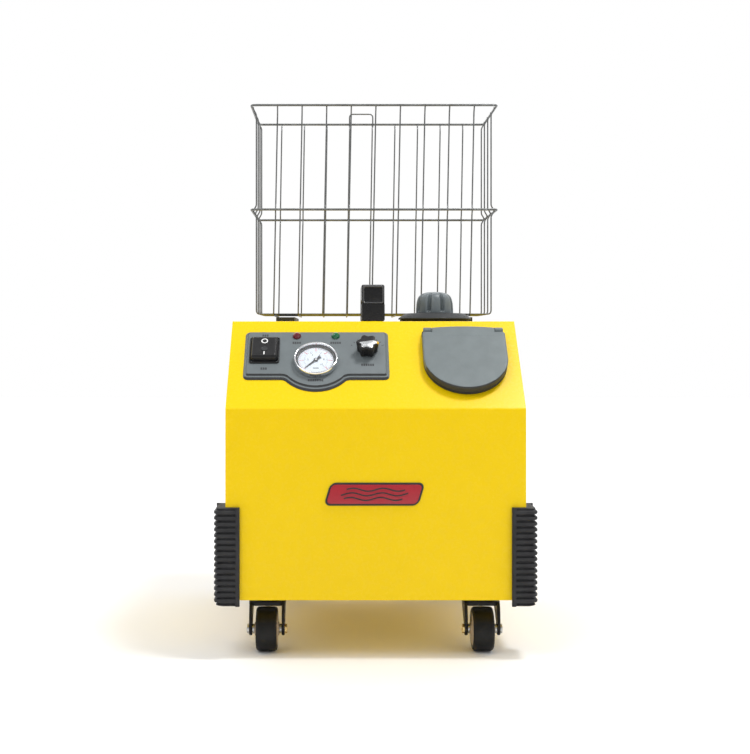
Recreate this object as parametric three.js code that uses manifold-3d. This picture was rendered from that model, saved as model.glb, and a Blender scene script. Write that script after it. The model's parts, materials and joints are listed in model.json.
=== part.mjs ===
// Steam cleaner on four swivel casters, with a folded sheet housing, a control panel and a steam
// hose socket on its sloped front, a filler cap, a carry handle and a wire accessory basket on its
// top. Millimetres, +Z up, the front faces -Y, and the origin is on the floor under the middle.

import * as THREE from 'three';
import { mergeVertices } from 'three/addons/utils/BufferGeometryUtils.js';
import Module from 'manifold-3d';

const wasm = await Module();
wasm.setup();

// ---------------------------------------------------------------- driving sizes

const gap = 0.3;                 // clearance between pieces that touch or run in each other

const bodyWidth = 340;
const bodyDepth = 420;
const frontHeight = 216.5;       // the upright front, from the base tray to the slope's fold
const slopeRise = 100;           // the slope leans back by as much as it rises
const sheet = 1.2;               // housing sheet
const bendRadius = 2.5;          // outside radius of the housing bends
const rearFlange = 20;           // side panels turn in by this much at the rear
const ventRows = 6;              // slots in the rear cover, in two columns
const ventPitch = 10;
const ventLength = 70;
const ventHeight = 4;
const ventSpread = 80;           // the columns stand this far either side of the middle
const ventDrop = 40;             // top row below the deck
const trayLip = 25;              // height of the base tray's upstand

const bumperHeight = 111.5;
const bumperDrop = 6.5;          // how far the bumpers reach below the housing
const bumperProud = 5;           // in front of the housing
const bumperSide = 13;           // beside the housing
const bumperFrontWidth = 16.2;   // how far they reach across the front
const bumperSideLength = 45;
const bumperCorner = 7;

const panelLeft = -152.7;        // control panel, across the slope
const panelRight = 17;
const panelLow = 44;             // control panel, up the slope from the fold
const panelHigh = 122;
const panelFlange = 1.8;
const panelHeight = 3.5;
const panelStep = 3.5;           // width of the flange round the raised field
const panelCorner = 5;
const bulgeMargin = 18.65;       // the panel swells round the gauge by this much
const bulgeFillet = 8;

const gaugeX = -68.5;
const gaugeV = 70;
const gaugeCaseRadius = 23.2;
const gaugeBezelLip = 2.55;      // the bezel covers its hole by this much
const gaugeWall = 2.1;           // between the case's outside and the dial
const gaugeDepth = 28;
const gaugeZeroAngle = 225;      // degrees from +X to the needle at zero

const lampSpread = 23;           // lamps stand this far either side of the gauge
const lampV = 112;
const lampRadius = 4.2;

const switchX = -129;
const switchV = 88;
const switchWidth = 35.3;
const switchLength = 42;
const rockerWidth = 31.5;
const rockerLength = 36.3;
const rockerTilt = 8;            // degrees either side of level
const rockerSwing = 1;           // room past each end of the rocker for its swing
const switchSideLip = 1;         // the bezel overlaps its hole by this much at the sides
const switchEndLip = 0.5;        // and by this much at the ends

const knobX = -8.2;
const knobV = 88;
const knobRadius = 13.4;
const knobHeight = 14.5;
const stemRadius = 3;
const valveRadius = 12;          // steam valve below the knob
const valveDepth = 44;
const outletDepth = 36;
const outletReach = 22;
const outletRadius = 4.5;

const socketX = 106;
const socketV = 70.5;
const socketRadius = 49;         // round lower end of the lid and its base
const socketTop = 123;           // upper edge of the base
const socketBase = 3.7;          // thickness of the base
const socketBore = 28;
const socketDepth = 30;
const socketFloor = 22;          // the coupling's floor lies this far below the base's top
const spigotRadius = 7;          // the hose's plug slides over the spigot
const spigotTop = 10;            // the spigot's end lies this far below the base's top
const socketDrain = 14;          // the coupling's shoulder, in the cup's floor
const socketTail = 22;           // the coupling reaches this far below the cup's floor
const tailRadius = 6;
const steamBore = 1.8;
const lidHeight = 7.7;
const lidWall = 2;
const lidTabWidth = 74;
const lidPinV = 117;
const lidPinRadius = 1.5;
const lidBarrelRadius = 3.4;
const lidEarWidth = 10;
const lidEarRadius = 4;
const lidTabReach = 4.5;         // the lid's tab reaches this far past its pin
const lidTabCorner = 2;
const hingeFloor = 0.9;          // base left under the tab, which swings down into the base

const fillerX = 78;
const fillerSetback = 55;        // from the crest of the slope back to the filler
const collarRadius = 45.4;
const collarTopRadius = 35;
const collarHeight = 8;
const collarSeat = 2.7;          // the collar stands on a gasket of this height
const neckBore = 13;
const neckWall = 3;
const plugFlange = 2;            // the plug's flange covers the neck by this much
const plugDepth = 14;
const plugFlangeHeight = 2;
const plugHeadRadius = 8;        // the cap turns on the plug's head
const plugHeadHeight = 12;
const capWall = 5.3;             // from the plug's flange to the cap's outside
const capGroove = 1.8;
const capTop = 37.5;             // top of the cap above the deck
const capFlutes = 8;

const handleWidth = 28;
const handleSetback = 4;         // from the crest of the slope back to the handle
const handleLength = 100;
const handleHeight = 45;
const handleFoot = 18;
const handleGrip = 18;           // thickness of the grip bar
const handleCorner = 8;

const basketX = 4;               // the basket stands this far right of the middle
const basketSetback = 110;       // from the crest of the slope back to the basket
const basketWidth = 320;
const basketDepth = 153;
const basketLift = 8;            // floor wires above the deck
const basketHeight = 273;
const bandHeight = 138;          // from the floor wires up to the band
const rimWire = 1.5;             // wire radii
const thinWire = 1.1;
const wirePitch = 31.85;
const sideInset = 6;             // side wires stand this far inside the rim
const loopHeight = 14;           // the two middle back wires rise above the rim
const railWidth = 24.2;
const railSpread = 114.5;

const wheelRadius = 25.5;
const treadWidth = 24.9;
const hubWidth = 29;
const casterX = 125.3;
const casterY = 145;             // swivel axes, in front of and behind the middle
const casterTrail = 20;
const forkGap = 33.8;
const forkWidth = 45;
const forkLeg = 4;
const axleRadius = 3;
const axleLength = 46.8;
const crownClearance = 1.2;      // between the tread and the crown
const crownThickness = 5;
const plateThickness = 2.5;
const raceHeight = 7.2;

const boilerX = 20;
const boilerRadius = 85;
const boilerClearance = 37.5;    // from the base tray's underside up to the boiler
const boilerLength = 230;
const boilerDish = 25;
const boilerWall = 2;
const cradleSpread = 55;
const heaterFlange = 30;
const pipeRadius = 4;

// ---------------------------------------------------------------- derived sizes

const crownTop = 2 * wheelRadius + crownClearance + crownThickness;
const raceLow = crownTop + gap;
const plateTop = raceLow + raceHeight + plateThickness;
const bodyBottom = plateTop + gap;
const foldHeight = bodyBottom + frontHeight;
const halfWidth = bodyWidth / 2;
const halfDepth = bodyDepth / 2;
const deck = foldHeight + slopeRise;
const skin = sheet + gap;
const innerX = halfWidth - skin;
const innerY = halfDepth - skin;
const crest = slopeRise - halfDepth;
const slopeAngle = Math.PI / 4;
const panelTop = gap + panelHeight;
const socketTopH = gap + socketBase;
const turn = Math.PI * 2;
const degree = Math.PI / 180;
const gaugeBezelRadius = gaugeCaseRadius + gaugeBezelLip;
const gaugeDialRadius = gaugeCaseRadius - gaugeWall;
const bulgeRadius = gaugeBezelRadius + bulgeMargin;
const fillerY = crest + fillerSetback;
const neckRadius = neckBore + neckWall;
const plugFlangeRadius = neckRadius + plugFlange;
const capRadius = plugFlangeRadius + capWall;
const handleStart = crest + handleSetback;
const handleEnd = handleStart + handleLength;
const basketNear = crest + basketSetback;
const basketBottom = deck + basketLift;
const basketRim = basketBottom + basketHeight;
const basketBand = basketBottom + bandHeight;
const boilerZ = bodyBottom + boilerClearance + boilerRadius;

// ---------------------------------------------------------------- materials

function finish(color, roughness, metalness) {
  return new THREE.MeshStandardMaterial({ color, roughness, metalness });
}

const yellowCoat = finish(0xf2cc10, 0.35, 0);
const blackRubber = finish(0x3a3a3c, 0.8, 0);
const greyPlastic = finish(0x858c8f, 0.5, 0);
const darkPlastic = finish(0x3c3f42, 0.5, 0);
const blackPlastic = finish(0x1b1b1d, 0.4, 0);
const chrome = finish(0xd8dadc, 0.15, 1);
const whiteEnamel = finish(0xf4f4f2, 0.5, 0);
const clearGlass = finish(0xeef4f6, 0.05, 0);
const redLens = finish(0xa01820, 0.25, 0);
const greenLens = finish(0x0d6a42, 0.25, 0);
const zinc = finish(0xb9bcbf, 0.35, 1);
const steel = finish(0x9a9ea2, 0.35, 1);
const brass = finish(0xc09a4a, 0.35, 1);
const wireGrey = finish(0x55595c, 0.4, 0.8);

// ---------------------------------------------------------------- shape helpers

const group = new THREE.Group();

function place(parent, name, geometry, material) {
  const mesh = new THREE.Mesh(geometry, material);
  mesh.name = name;
  parent.add(mesh);
  return mesh;
}

function toSolid(geometry) {
  const bare = geometry.clone();
  bare.deleteAttribute('normal');
  bare.deleteAttribute('uv');
  const merged = mergeVertices(bare, 1e-4);
  const kept = [];
  const index = merged.index.array;
  for (let i = 0; i < index.length; i += 3) {
    const [a, b, c] = [index[i], index[i + 1], index[i + 2]];
    if (a !== b && b !== c && c !== a) kept.push(a, b, c);
  }
  const vertProperties = new Float32Array(merged.attributes.position.array);
  const triVerts = new Uint32Array(kept);
  return new wasm.Manifold(new wasm.Mesh({ numProp: 3, vertProperties, triVerts }));
}

function toGeometry(solid) {
  const mesh = solid.getMesh();
  const geometry = new THREE.BufferGeometry();
  geometry.setAttribute('position', new THREE.BufferAttribute(new Float32Array(mesh.vertProperties), 3));
  geometry.setIndex(new THREE.BufferAttribute(new Uint32Array(mesh.triVerts), 1));
  geometry.computeVertexNormals();
  return geometry;
}

function combine(operation, first, others) {
  const result = others.reduce((solid, other) => solid[operation](toSolid(other)), toSolid(first));
  return toGeometry(result);
}

const join = (first, ...others) => combine('add', first, others);
const cut = (first, ...others) => combine('subtract', first, others);
const overlap = (first, ...others) => combine('intersect', first, others);

function block(x0, x1, y0, y1, z0, z1) {
  const box = new THREE.BoxGeometry(x1 - x0, y1 - y0, z1 - z0);
  return box.translate((x0 + x1) / 2, (y0 + y1) / 2, (z0 + z1) / 2);
}

// A profile of [radius, height] points, turned about Z.
function turned(profile, segments = 24) {
  const points = profile.map(([r, z]) => new THREE.Vector2(r, z));
  return new THREE.LatheGeometry(points, segments).rotateX(Math.PI / 2);
}

function disc(radius, z0, z1, segments = 24) {
  return turned([[0, z0], [radius, z0], [radius, z1], [0, z1]], segments);
}

function ring(inner, outer, z0, z1, segments = 24) {
  return turned([[inner, z0], [outer, z0], [outer, z1], [inner, z1], [inner, z0]], segments);
}

function polygon(points) {
  return new THREE.Shape(points.map(([a, b]) => new THREE.Vector2(a, b)));
}

function extruded(shape, depth, curveSegments = 8) {
  return new THREE.ExtrudeGeometry(shape, { depth, bevelEnabled: false, curveSegments });
}

// Outlines in the X-Y plane, drawn upward.
function alongZ(shape, z0, z1, curveSegments) {
  return extruded(shape, z1 - z0, curveSegments).translate(0, 0, z0);
}

// Outlines in the Y-Z plane, drawn from x0 to x1.
function alongX(shape, x0, x1, curveSegments) {
  const yzToX = new THREE.Matrix4().makeBasis(
    new THREE.Vector3(0, 1, 0),
    new THREE.Vector3(0, 0, 1),
    new THREE.Vector3(1, 0, 0),
  );
  return extruded(shape, x1 - x0, curveSegments).applyMatrix4(yzToX).translate(x0, 0, 0);
}

// A round rod between two points.
function rod(from, to, radius, sides = 4) {
  const start = new THREE.Vector3(...from);
  const span = new THREE.Vector3(...to).sub(start);
  const length = span.length();
  const geometry = disc(radius, 0, length, sides);
  const spin = new THREE.Quaternion().setFromUnitVectors(new THREE.Vector3(0, 0, 1), span.normalize());
  return geometry.applyQuaternion(spin).translate(start.x, start.y, start.z);
}

function roundedRectangle(x0, x1, y0, y1, radius) {
  const shape = new THREE.Shape();
  shape.moveTo(x0 + radius, y0);
  shape.lineTo(x1 - radius, y0);
  shape.absarc(x1 - radius, y0 + radius, radius, -turn / 4, 0);
  shape.absarc(x1 - radius, y1 - radius, radius, 0, turn / 4);
  shape.absarc(x0 + radius, y1 - radius, radius, turn / 4, turn / 2);
  shape.absarc(x0 + radius, y0 + radius, radius, turn / 2, turn * 3 / 4);
  return shape;
}

// The slope's own frame: X across, Y up the slope from the fold, Z out of it.
const slope = new THREE.Group();
slope.position.set(0, -halfDepth, foldHeight);
slope.rotation.x = slopeAngle;
slope.updateMatrix();
group.add(slope);

function fromSlope(geometry) {
  return geometry.applyMatrix4(slope.matrix);
}

// ---------------------------------------------------------------- housing

// Cutters through the sloped sheet and the control panel, in the slope's frame.
const belowSlope = -20;
const aboveSlope = 20;

function slopeOpenings() {
  const switchHole = block(
    switchX - switchWidth / 2 + switchSideLip,
    switchX + switchWidth / 2 - switchSideLip,
    switchV - switchLength / 2 + switchEndLip,
    switchV + switchLength / 2 - switchEndLip,
    belowSlope,
    aboveSlope,
  );
  const gaugeHole = disc(gaugeCaseRadius + gap, belowSlope, aboveSlope).translate(gaugeX, gaugeV, 0);
  const lampHoles = [-lampSpread, lampSpread].map(
    (x) => disc(lampRadius + gap, belowSlope, aboveSlope, 16).translate(gaugeX + x, lampV, 0),
  );
  const knobHole = disc(stemRadius + 1, belowSlope, aboveSlope, 16).translate(knobX, knobV, 0);
  return [switchHole, gaugeHole, ...lampHoles, knobHole];
}

function frontCover() {
  const bend = bendRadius * Math.tan(slopeAngle / 2);
  const shape = new THREE.Shape();
  shape.moveTo(-halfDepth, bodyBottom);
  shape.lineTo(-halfDepth, foldHeight - bend);
  shape.absarc(-halfDepth + bendRadius, foldHeight - bend, bendRadius, turn / 2, turn * 3 / 8, true);
  shape.absarc(-halfDepth + slopeRise + bend, deck - bendRadius, bendRadius, turn * 3 / 8, turn / 4, true);
  shape.lineTo(halfDepth, deck);
  shape.lineTo(halfDepth, deck - sheet);
  const inside = bendRadius - sheet;
  shape.absarc(-halfDepth + slopeRise + bend, deck - bendRadius, inside, turn / 4, turn * 3 / 8, false);
  shape.absarc(-halfDepth + bendRadius, foldHeight - bend, inside, turn * 3 / 8, turn / 2, false);
  shape.lineTo(-halfDepth + sheet, bodyBottom);
  const folded = alongX(shape, -halfWidth, halfWidth, 4);
  const socketHole = disc(socketBore + lidWall + gap, belowSlope, aboveSlope).translate(socketX, socketV, 0);
  const neckHole = disc(neckRadius + gap, deck - 10, deck + 10).translate(fillerX, fillerY, 0);
  return cut(folded, ...slopeOpenings().map(fromSlope), fromSlope(socketHole), neckHole);
}

function sidePanel(side) {
  const lean = skin * Math.SQRT2;
  const top = deck - skin;
  const outline = polygon([
    [-innerY, bodyBottom],
    [halfDepth, bodyBottom],
    [halfDepth, top],
    [-halfDepth + slopeRise - skin + lean, top],
    [-innerY, foldHeight + skin - lean],
  ]);
  const outer = side * halfWidth;
  const inner = side * (halfWidth - sheet);
  const lip = side * (halfWidth - rearFlange);
  const wall = alongX(outline, Math.min(outer, inner), Math.max(outer, inner));
  const flange = block(
    Math.min(outer, lip),
    Math.max(outer, lip),
    halfDepth - sheet,
    halfDepth,
    bodyBottom,
    top,
  );
  return join(wall, flange);
}

function rearCover() {
  const half = halfWidth - rearFlange - gap;
  const plate = block(-half, half, halfDepth - sheet, halfDepth, bodyBottom, deck - skin);
  const slots = [];
  for (const side of [-1, 1]) {
    for (let row = 0; row < ventRows; row += 1) {
      const z = deck - ventDrop - row * ventPitch;
      slots.push(block(
        side * ventSpread - ventLength / 2,
        side * ventSpread + ventLength / 2,
        halfDepth - 10,
        halfDepth + 10,
        z - ventHeight / 2,
        z + ventHeight / 2,
      ));
    }
  }
  return cut(plate, ...slots);
}

const glandX = 60;
const glandY = halfDepth - 30;
const glandRadius = 8;

function baseTray() {
  const top = bodyBottom + trayLip;
  const outer = block(-innerX, innerX, -innerY, innerY, bodyBottom, top);
  const inner = block(
    -innerX + sheet,
    innerX - sheet,
    -innerY + sheet,
    innerY - sheet,
    bodyBottom + sheet,
    top + 10,
  );
  const cordHole = disc(glandRadius + gap, bodyBottom - 10, bodyBottom + 10, 16).translate(glandX, glandY, 0);
  return cut(outer, inner, cordHole);
}

function cordGland() {
  const flange = glandRadius + 4;
  const under = bodyBottom - gap;
  const body = turned([
    [4, under - 16],
    [glandRadius, under - 16],
    [flange, under - 10],
    [flange, under],
    [glandRadius, under],
    [glandRadius, under + 14],
    [4, under + 14],
    [4, under - 16],
  ], 16);
  return body.translate(glandX, glandY, 0);
}

function cornerBumper(side, end) {
  const inner = halfWidth + gap;
  const outer = halfWidth + bumperSide;
  const face = halfDepth + bumperProud;
  const shape = new THREE.Shape();
  shape.moveTo(halfWidth - bumperFrontWidth, halfDepth + gap);
  shape.lineTo(inner, halfDepth + gap);
  shape.lineTo(inner, face - bumperSideLength);
  shape.lineTo(outer, face - bumperSideLength);
  shape.absarc(outer - bumperCorner, face - bumperCorner, bumperCorner, 0, turn / 4);
  shape.lineTo(halfWidth - bumperFrontWidth, face);
  const low = bodyBottom - bumperDrop;
  const strip = alongZ(shape, low, low + bumperHeight, 4);
  if (side * end > 0) {
    return strip.rotateZ(side > 0 ? 0 : turn / 2);
  }
  const mirrored = toSolid(strip).mirror([1, 0, 0]);
  return toGeometry(mirrored).rotateZ(side > 0 ? turn / 2 : 0);
}

place(group, 'front_cover', frontCover(), yellowCoat);
place(group, 'side_panel_left', sidePanel(-1), yellowCoat);
place(group, 'side_panel_right', sidePanel(1), yellowCoat);
place(group, 'rear_cover', rearCover(), yellowCoat);
place(group, 'base_tray', baseTray(), yellowCoat);
place(group, 'cord_gland', cordGland(), blackPlastic);
for (const [sideName, side] of [['left', -1], ['right', 1]]) {
  for (const [endName, end] of [['front', -1], ['rear', 1]]) {
    place(group, `bumper_${endName}_${sideName}`, cornerBumper(side, end), blackRubber);
  }
}

// ---------------------------------------------------------------- control panel

// The panel's outline, drawn smaller all round by inset.
function panelOutline(inset) {
  const left = panelLeft + inset;
  const right = panelRight - inset;
  const low = panelLow + inset;
  const high = panelHigh - inset;
  const corner = Math.max(panelCorner - inset, 1);
  const bulge = bulgeRadius - inset;
  const fillet = bulgeFillet + inset;
  const filletV = low - fillet;
  const reach = bulge + fillet;
  const filletX = Math.sqrt(reach ** 2 - (gaugeV - filletV) ** 2);
  const start = Math.atan2(filletV - gaugeV, -filletX);
  const end = Math.atan2(filletV - gaugeV, filletX);
  const shape = new THREE.Shape();
  shape.moveTo(left + corner, low);
  shape.lineTo(gaugeX - filletX, low);
  shape.absarc(gaugeX - filletX, filletV, fillet, turn / 4, start + turn / 2, true);
  shape.absarc(gaugeX, gaugeV, bulge, start, end, false);
  shape.absarc(gaugeX + filletX, filletV, fillet, end + turn / 2, turn / 4, true);
  shape.lineTo(right - corner, low);
  shape.absarc(right - corner, low + corner, corner, -turn / 4, 0, false);
  shape.absarc(right - corner, high - corner, corner, 0, turn / 4, false);
  shape.absarc(left + corner, high - corner, corner, turn / 4, turn / 2, false);
  shape.absarc(left + corner, low + corner, corner, turn / 2, turn * 3 / 4, false);
  return shape;
}

function controlPanel() {
  const flange = alongZ(panelOutline(0), gap, gap + panelFlange, 6);
  const field = alongZ(panelOutline(panelStep), gap, panelTop, 6);
  return cut(join(flange, field), ...slopeOpenings());
}

const gaugeSeat = panelTop + gap;
const gaugeFloor = gaugeSeat + 0.9;
const dialThickness = 0.8;
const dialTop = gaugeFloor + gap + dialThickness;
const lensSeat = gaugeSeat + 5.2;
const bezelTop = gaugeSeat + 7.7;
const bezelBore = gaugeCaseRadius + 0.7;

function gaugeCase() {
  const well = gaugeDialRadius + gap;
  return turned([
    [0, gaugeSeat - gaugeDepth],
    [gaugeCaseRadius, gaugeSeat - gaugeDepth],
    [gaugeCaseRadius, gaugeSeat],
    [gaugeBezelRadius, gaugeSeat],
    [gaugeBezelRadius, bezelTop - 1.2],
    [gaugeBezelRadius - 0.8, bezelTop],
    [bezelBore, bezelTop],
    [bezelBore, lensSeat],
    [well, lensSeat - 0.4],
    [well, gaugeFloor],
    [0, gaugeFloor],
  ], 32);
}

function gaugeNeedle() {
  const low = dialTop + 0.5;
  const hub = disc(2.2, low, low + 1.6, 16);
  const spindle = disc(0.9, gaugeFloor + gap, low + 0.4, 12);
  const blade = polygon([[-7, -1.1], [0, -1.1], [17.5, -0.25], [17.5, 0.25], [0, 1.1], [-7, 1.1]]);
  return join(hub, spindle, alongZ(blade, low + 0.4, low + 1));
}

function lamp() {
  const seat = panelTop + gap;
  return turned([
    [0, seat - 16],
    [lampRadius, seat - 16],
    [lampRadius, seat],
    [lampRadius + 0.8, seat],
    [lampRadius + 0.6, seat + 1.6],
    [lampRadius - 1, seat + 3.6],
    [0, seat + 4.6],
  ], 20);
}

const switchSeat = panelTop + gap;
const rockerPivot = switchSeat - 1;

function switchFrame() {
  const [halfW, halfL] = [switchWidth / 2, switchLength / 2];
  const bezel = alongZ(roundedRectangle(-halfW, halfW, -halfL, halfL, 2), switchSeat, switchSeat + 1.5, 3);
  const body = block(
    -halfW + switchSideLip + gap,
    halfW - switchSideLip - gap,
    -halfL + switchEndLip + gap,
    halfL - switchEndLip - gap,
    switchSeat - 26,
    switchSeat + 0.5,
  );
  const well = block(
    -rockerWidth / 2 - gap,
    rockerWidth / 2 + gap,
    -rockerLength / 2 - rockerSwing,
    rockerLength / 2 + rockerSwing,
    rockerPivot - 9,
    switchSeat + 5,
  );
  return cut(join(bezel, body), well);
}

// The rocker's side view, about its pivot: two faces that meet in a shallow valley.
function rocker() {
  const half = rockerLength / 2;
  const outline = polygon([
    [-half, -1.5],
    [half, -1.5],
    [half, 8],
    [half - 2, 9],
    [0, 7.2],
    [2 - half, 9],
    [-half, 8],
  ]);
  return alongX(outline, -rockerWidth / 2, rockerWidth / 2);
}

const stemTop = panelTop + 9.5;

function steamValve() {
  const body = disc(valveRadius, -valveDepth, -sheet - gap, 6);
  const stem = disc(stemRadius, -sheet - 1, stemTop, 16);
  const outlet = rod([0, 0, -outletDepth], [0, -outletReach, -outletDepth], outletRadius, 12);
  return join(body, stem, outlet);
}

function steamKnob() {
  const lobes = 6;
  const depth = 1.5;
  const points = [];
  for (let step = 0; step < lobes * 8; step += 1) {
    const angle = step * turn / (lobes * 8);
    const radius = knobRadius - depth + depth * Math.cos(lobes * angle);
    points.push([radius * Math.cos(angle), radius * Math.sin(angle)]);
  }
  const seat = panelTop + 2 * gap;
  const body = alongZ(polygon(points), seat, seat + knobHeight);
  const bore = disc(stemRadius + gap, seat - 1, stemTop + 1, 16);
  return cut(body, bore);
}

place(slope, 'control_panel', controlPanel(), greyPlastic);
place(slope, 'gauge_case', gaugeCase(), chrome).position.set(gaugeX, gaugeV, 0);
const dial = ring(1.2, gaugeDialRadius, gaugeFloor + gap, dialTop, 32);
place(slope, 'gauge_dial', dial, whiteEnamel).position.set(gaugeX, gaugeV, 0);
const needle = place(slope, 'gauge_needle', gaugeNeedle(), blackPlastic);
needle.position.set(gaugeX, gaugeV, 0);
needle.rotation.z = gaugeZeroAngle * degree;
const lens = disc(bezelBore - gap, lensSeat + gap, lensSeat + 1.8, 32);
place(slope, 'gauge_lens', lens, clearGlass).position.set(gaugeX, gaugeV, 0);
place(slope, 'lamp_red', lamp(), redLens).position.set(gaugeX - lampSpread, lampV, 0);
place(slope, 'lamp_green', lamp(), greenLens).position.set(gaugeX + lampSpread, lampV, 0);
place(slope, 'switch_frame', switchFrame(), blackPlastic).position.set(switchX, switchV, 0);
const rockerMesh = place(slope, 'rocker', rocker(), blackPlastic);
rockerMesh.position.set(switchX, switchV, rockerPivot);
rockerMesh.rotation.x = -rockerTilt * degree;
place(slope, 'steam_valve', steamValve(), brass).position.set(knobX, knobV, 0);
place(slope, 'steam_knob', steamKnob(), blackPlastic).position.set(knobX, knobV, 0);

// ---------------------------------------------------------------- hose socket and its lid

const lidSeat = socketTopH + gap;
const lidPinH = lidSeat + lidBarrelRadius;
const lidTop = lidSeat + lidHeight;

// A D-shaped outline: a half round end below, straight sides, and a top edge.
function dOutline(radius, top, corner) {
  const shape = new THREE.Shape();
  shape.absarc(0, 0, radius, turn / 2, turn, false);
  shape.lineTo(radius, top - corner);
  shape.absarc(radius - corner, top - corner, corner, 0, turn / 4, false);
  shape.absarc(corner - radius, top - corner, corner, turn / 4, turn / 2, false);
  return shape;
}

const hingeV = lidPinV - socketV;

function pinHole(x0, x1) {
  return rod([x0, hingeV, lidPinH], [x1, hingeV, lidPinH], lidPinRadius + gap, 16);
}

function hingeEar(side) {
  const near = side * (lidTabWidth / 2 + gap);
  const far = side * (lidTabWidth / 2 + gap + lidEarWidth);
  const [x0, x1] = [Math.min(near, far), Math.max(near, far)];
  const shape = new THREE.Shape();
  shape.moveTo(hingeV - lidEarRadius, socketTopH - 1);
  shape.lineTo(hingeV + lidEarRadius, socketTopH - 1);
  shape.absarc(hingeV, lidPinH, lidEarRadius, 0, turn / 2, false);
  return alongX(shape, x0, x1, 8);
}

function socketHousing() {
  const plate = alongZ(dOutline(socketRadius, socketTop - socketV, 6), gap, socketTopH, 12);
  const cup = disc(socketBore + lidWall, socketTopH - socketDepth - lidWall, socketTopH - 0.5);
  const bore = disc(socketBore, socketTopH - socketDepth, socketTopH + 10);
  const drain = disc(socketDrain + gap, socketTopH - socketDepth - 10, socketTopH, 24);
  const reach = lidTabWidth / 2 + lidEarWidth + 5;
  const tabRoom = block(
    -lidTabWidth / 2 - gap,
    lidTabWidth / 2 + gap,
    hingeV - Math.hypot(lidTabReach, lidPinH - gap - hingeFloor),
    socketTop,
    gap + hingeFloor,
    lidTop,
  );
  return cut(join(plate, cup, hingeEar(-1), hingeEar(1)), bore, drain, tabRoom, pinHole(-reach, reach));
}

function steamSocket() {
  const floor = socketTopH - socketDepth;
  const back = floor - socketTail;
  const shoulder = floor - 8;
  const face = socketTopH - socketFloor;
  const tip = socketTopH - spigotTop;
  return turned([
    [0, back],
    [tailRadius, back],
    [tailRadius, shoulder],
    [socketDrain, shoulder],
    [socketDrain, floor + gap],
    [socketBore - gap, floor + gap],
    [socketBore - gap, face],
    [spigotRadius, face],
    [spigotRadius, tip - 1],
    [spigotRadius - 1, tip],
    [steamBore, tip],
    [steamBore, floor],
    [0, floor],
  ]);
}

function socketLid() {
  const shoulder = hingeV - lidEarRadius - 0.6;
  const outer = alongZ(dOutline(socketRadius, shoulder, 4), lidSeat, lidTop, 12);
  const inside = dOutline(socketRadius - lidWall, shoulder - lidWall, 3);
  const hollow = alongZ(inside, lidSeat - 1, lidTop - lidWall, 12);
  const tabHalf = lidTabWidth / 2;
  const barrel = rod([-tabHalf, hingeV, lidPinH], [tabHalf, hingeV, lidPinH], lidBarrelRadius, 20);
  const end = hingeV + lidTabReach;
  const tab = new THREE.Shape();
  tab.moveTo(shoulder - 1, lidPinH);
  tab.lineTo(end, lidPinH);
  tab.absarc(end - lidTabCorner, lidTop - lidTabCorner, lidTabCorner, 0, turn / 4, false);
  tab.lineTo(shoulder - 1, lidTop);
  const shell = join(cut(outer, hollow), barrel, alongX(tab, -tabHalf, tabHalf, 4));
  return cut(shell, pinHole(-tabHalf - 5, tabHalf + 5));
}

function lidPin() {
  const half = lidTabWidth / 2 + lidEarWidth;
  return rod([-half, hingeV, lidPinH], [half, hingeV, lidPinH], lidPinRadius, 16);
}

place(slope, 'socket_housing', socketHousing(), darkPlastic).position.set(socketX, socketV, 0);
place(slope, 'steam_socket', steamSocket(), brass).position.set(socketX, socketV, 0);
place(slope, 'lid_pin', lidPin(), steel).position.set(socketX, socketV, 0);
place(slope, 'socket_lid', socketLid(), greyPlastic).position.set(socketX, socketV, 0);

// ---------------------------------------------------------------- filler

const neckTop = deck + collarSeat + collarHeight;

function fillerCollar() {
  const seat = deck + gap;
  const foot = deck + collarSeat;
  return turned([
    [neckRadius + gap, seat],
    [collarRadius - 3, seat],
    [collarRadius - 3, foot],
    [collarRadius, foot],
    [collarRadius, foot + 1.5],
    [collarTopRadius, neckTop],
    [neckRadius + gap, neckTop],
    [neckRadius + gap, seat],
  ], 32);
}

function fillerNeck() {
  const tube = ring(neckBore, neckRadius, boilerZ + boilerRadius - 8, neckTop);
  const boilerSkin = disc(boilerRadius + gap, -boilerLength, boilerLength, 64).rotateY(Math.PI / 2);
  return cut(tube, boilerSkin.translate(boilerX - fillerX, 0, boilerZ));
}

function capPlug() {
  const seat = neckTop + gap;
  return turned([
    [0, neckTop - plugDepth],
    [neckBore - gap, neckTop - plugDepth],
    [neckBore - gap, seat],
    [plugFlangeRadius, seat],
    [plugFlangeRadius, seat + plugFlangeHeight],
    [plugHeadRadius, seat + plugFlangeHeight],
    [plugHeadRadius, seat + plugHeadHeight],
    [0, seat + plugHeadHeight],
  ]);
}

function capKnob() {
  const seat = neckTop + gap;
  const top = deck + capTop;
  const points = [];
  const steps = capFlutes * 6;
  for (let step = 0; step < steps; step += 1) {
    const angle = step * turn / steps;
    const groove = Math.max(0, -Math.cos(capFlutes * angle)) * capGroove;
    points.push([(capRadius - groove) * Math.cos(angle), (capRadius - groove) * Math.sin(angle)]);
  }
  const fluted = alongZ(polygon(points), seat, top);
  const dome = turned([
    [0, seat],
    [capRadius + 1, seat],
    [capRadius + 1, top - 12],
    [capRadius - 3, top - 5],
    [capRadius - 9, top - 1],
    [0, top],
  ]);
  const recess = disc(plugFlangeRadius + gap, seat - 1, seat + plugFlangeHeight + gap);
  const bore = disc(plugHeadRadius + gap, seat - 1, seat + plugHeadHeight + gap);
  return cut(overlap(fluted, dome), recess, bore);
}

place(group, 'filler_collar', fillerCollar(), darkPlastic).position.set(fillerX, fillerY, 0);
place(group, 'filler_neck', fillerNeck(), steel).position.set(fillerX, fillerY, 0);
place(group, 'cap_plug', capPlug(), brass).position.set(fillerX, fillerY, 0);
place(group, 'cap_knob', capKnob(), darkPlastic).position.set(fillerX, fillerY, 0);

// ---------------------------------------------------------------- carry handle and basket

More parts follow.
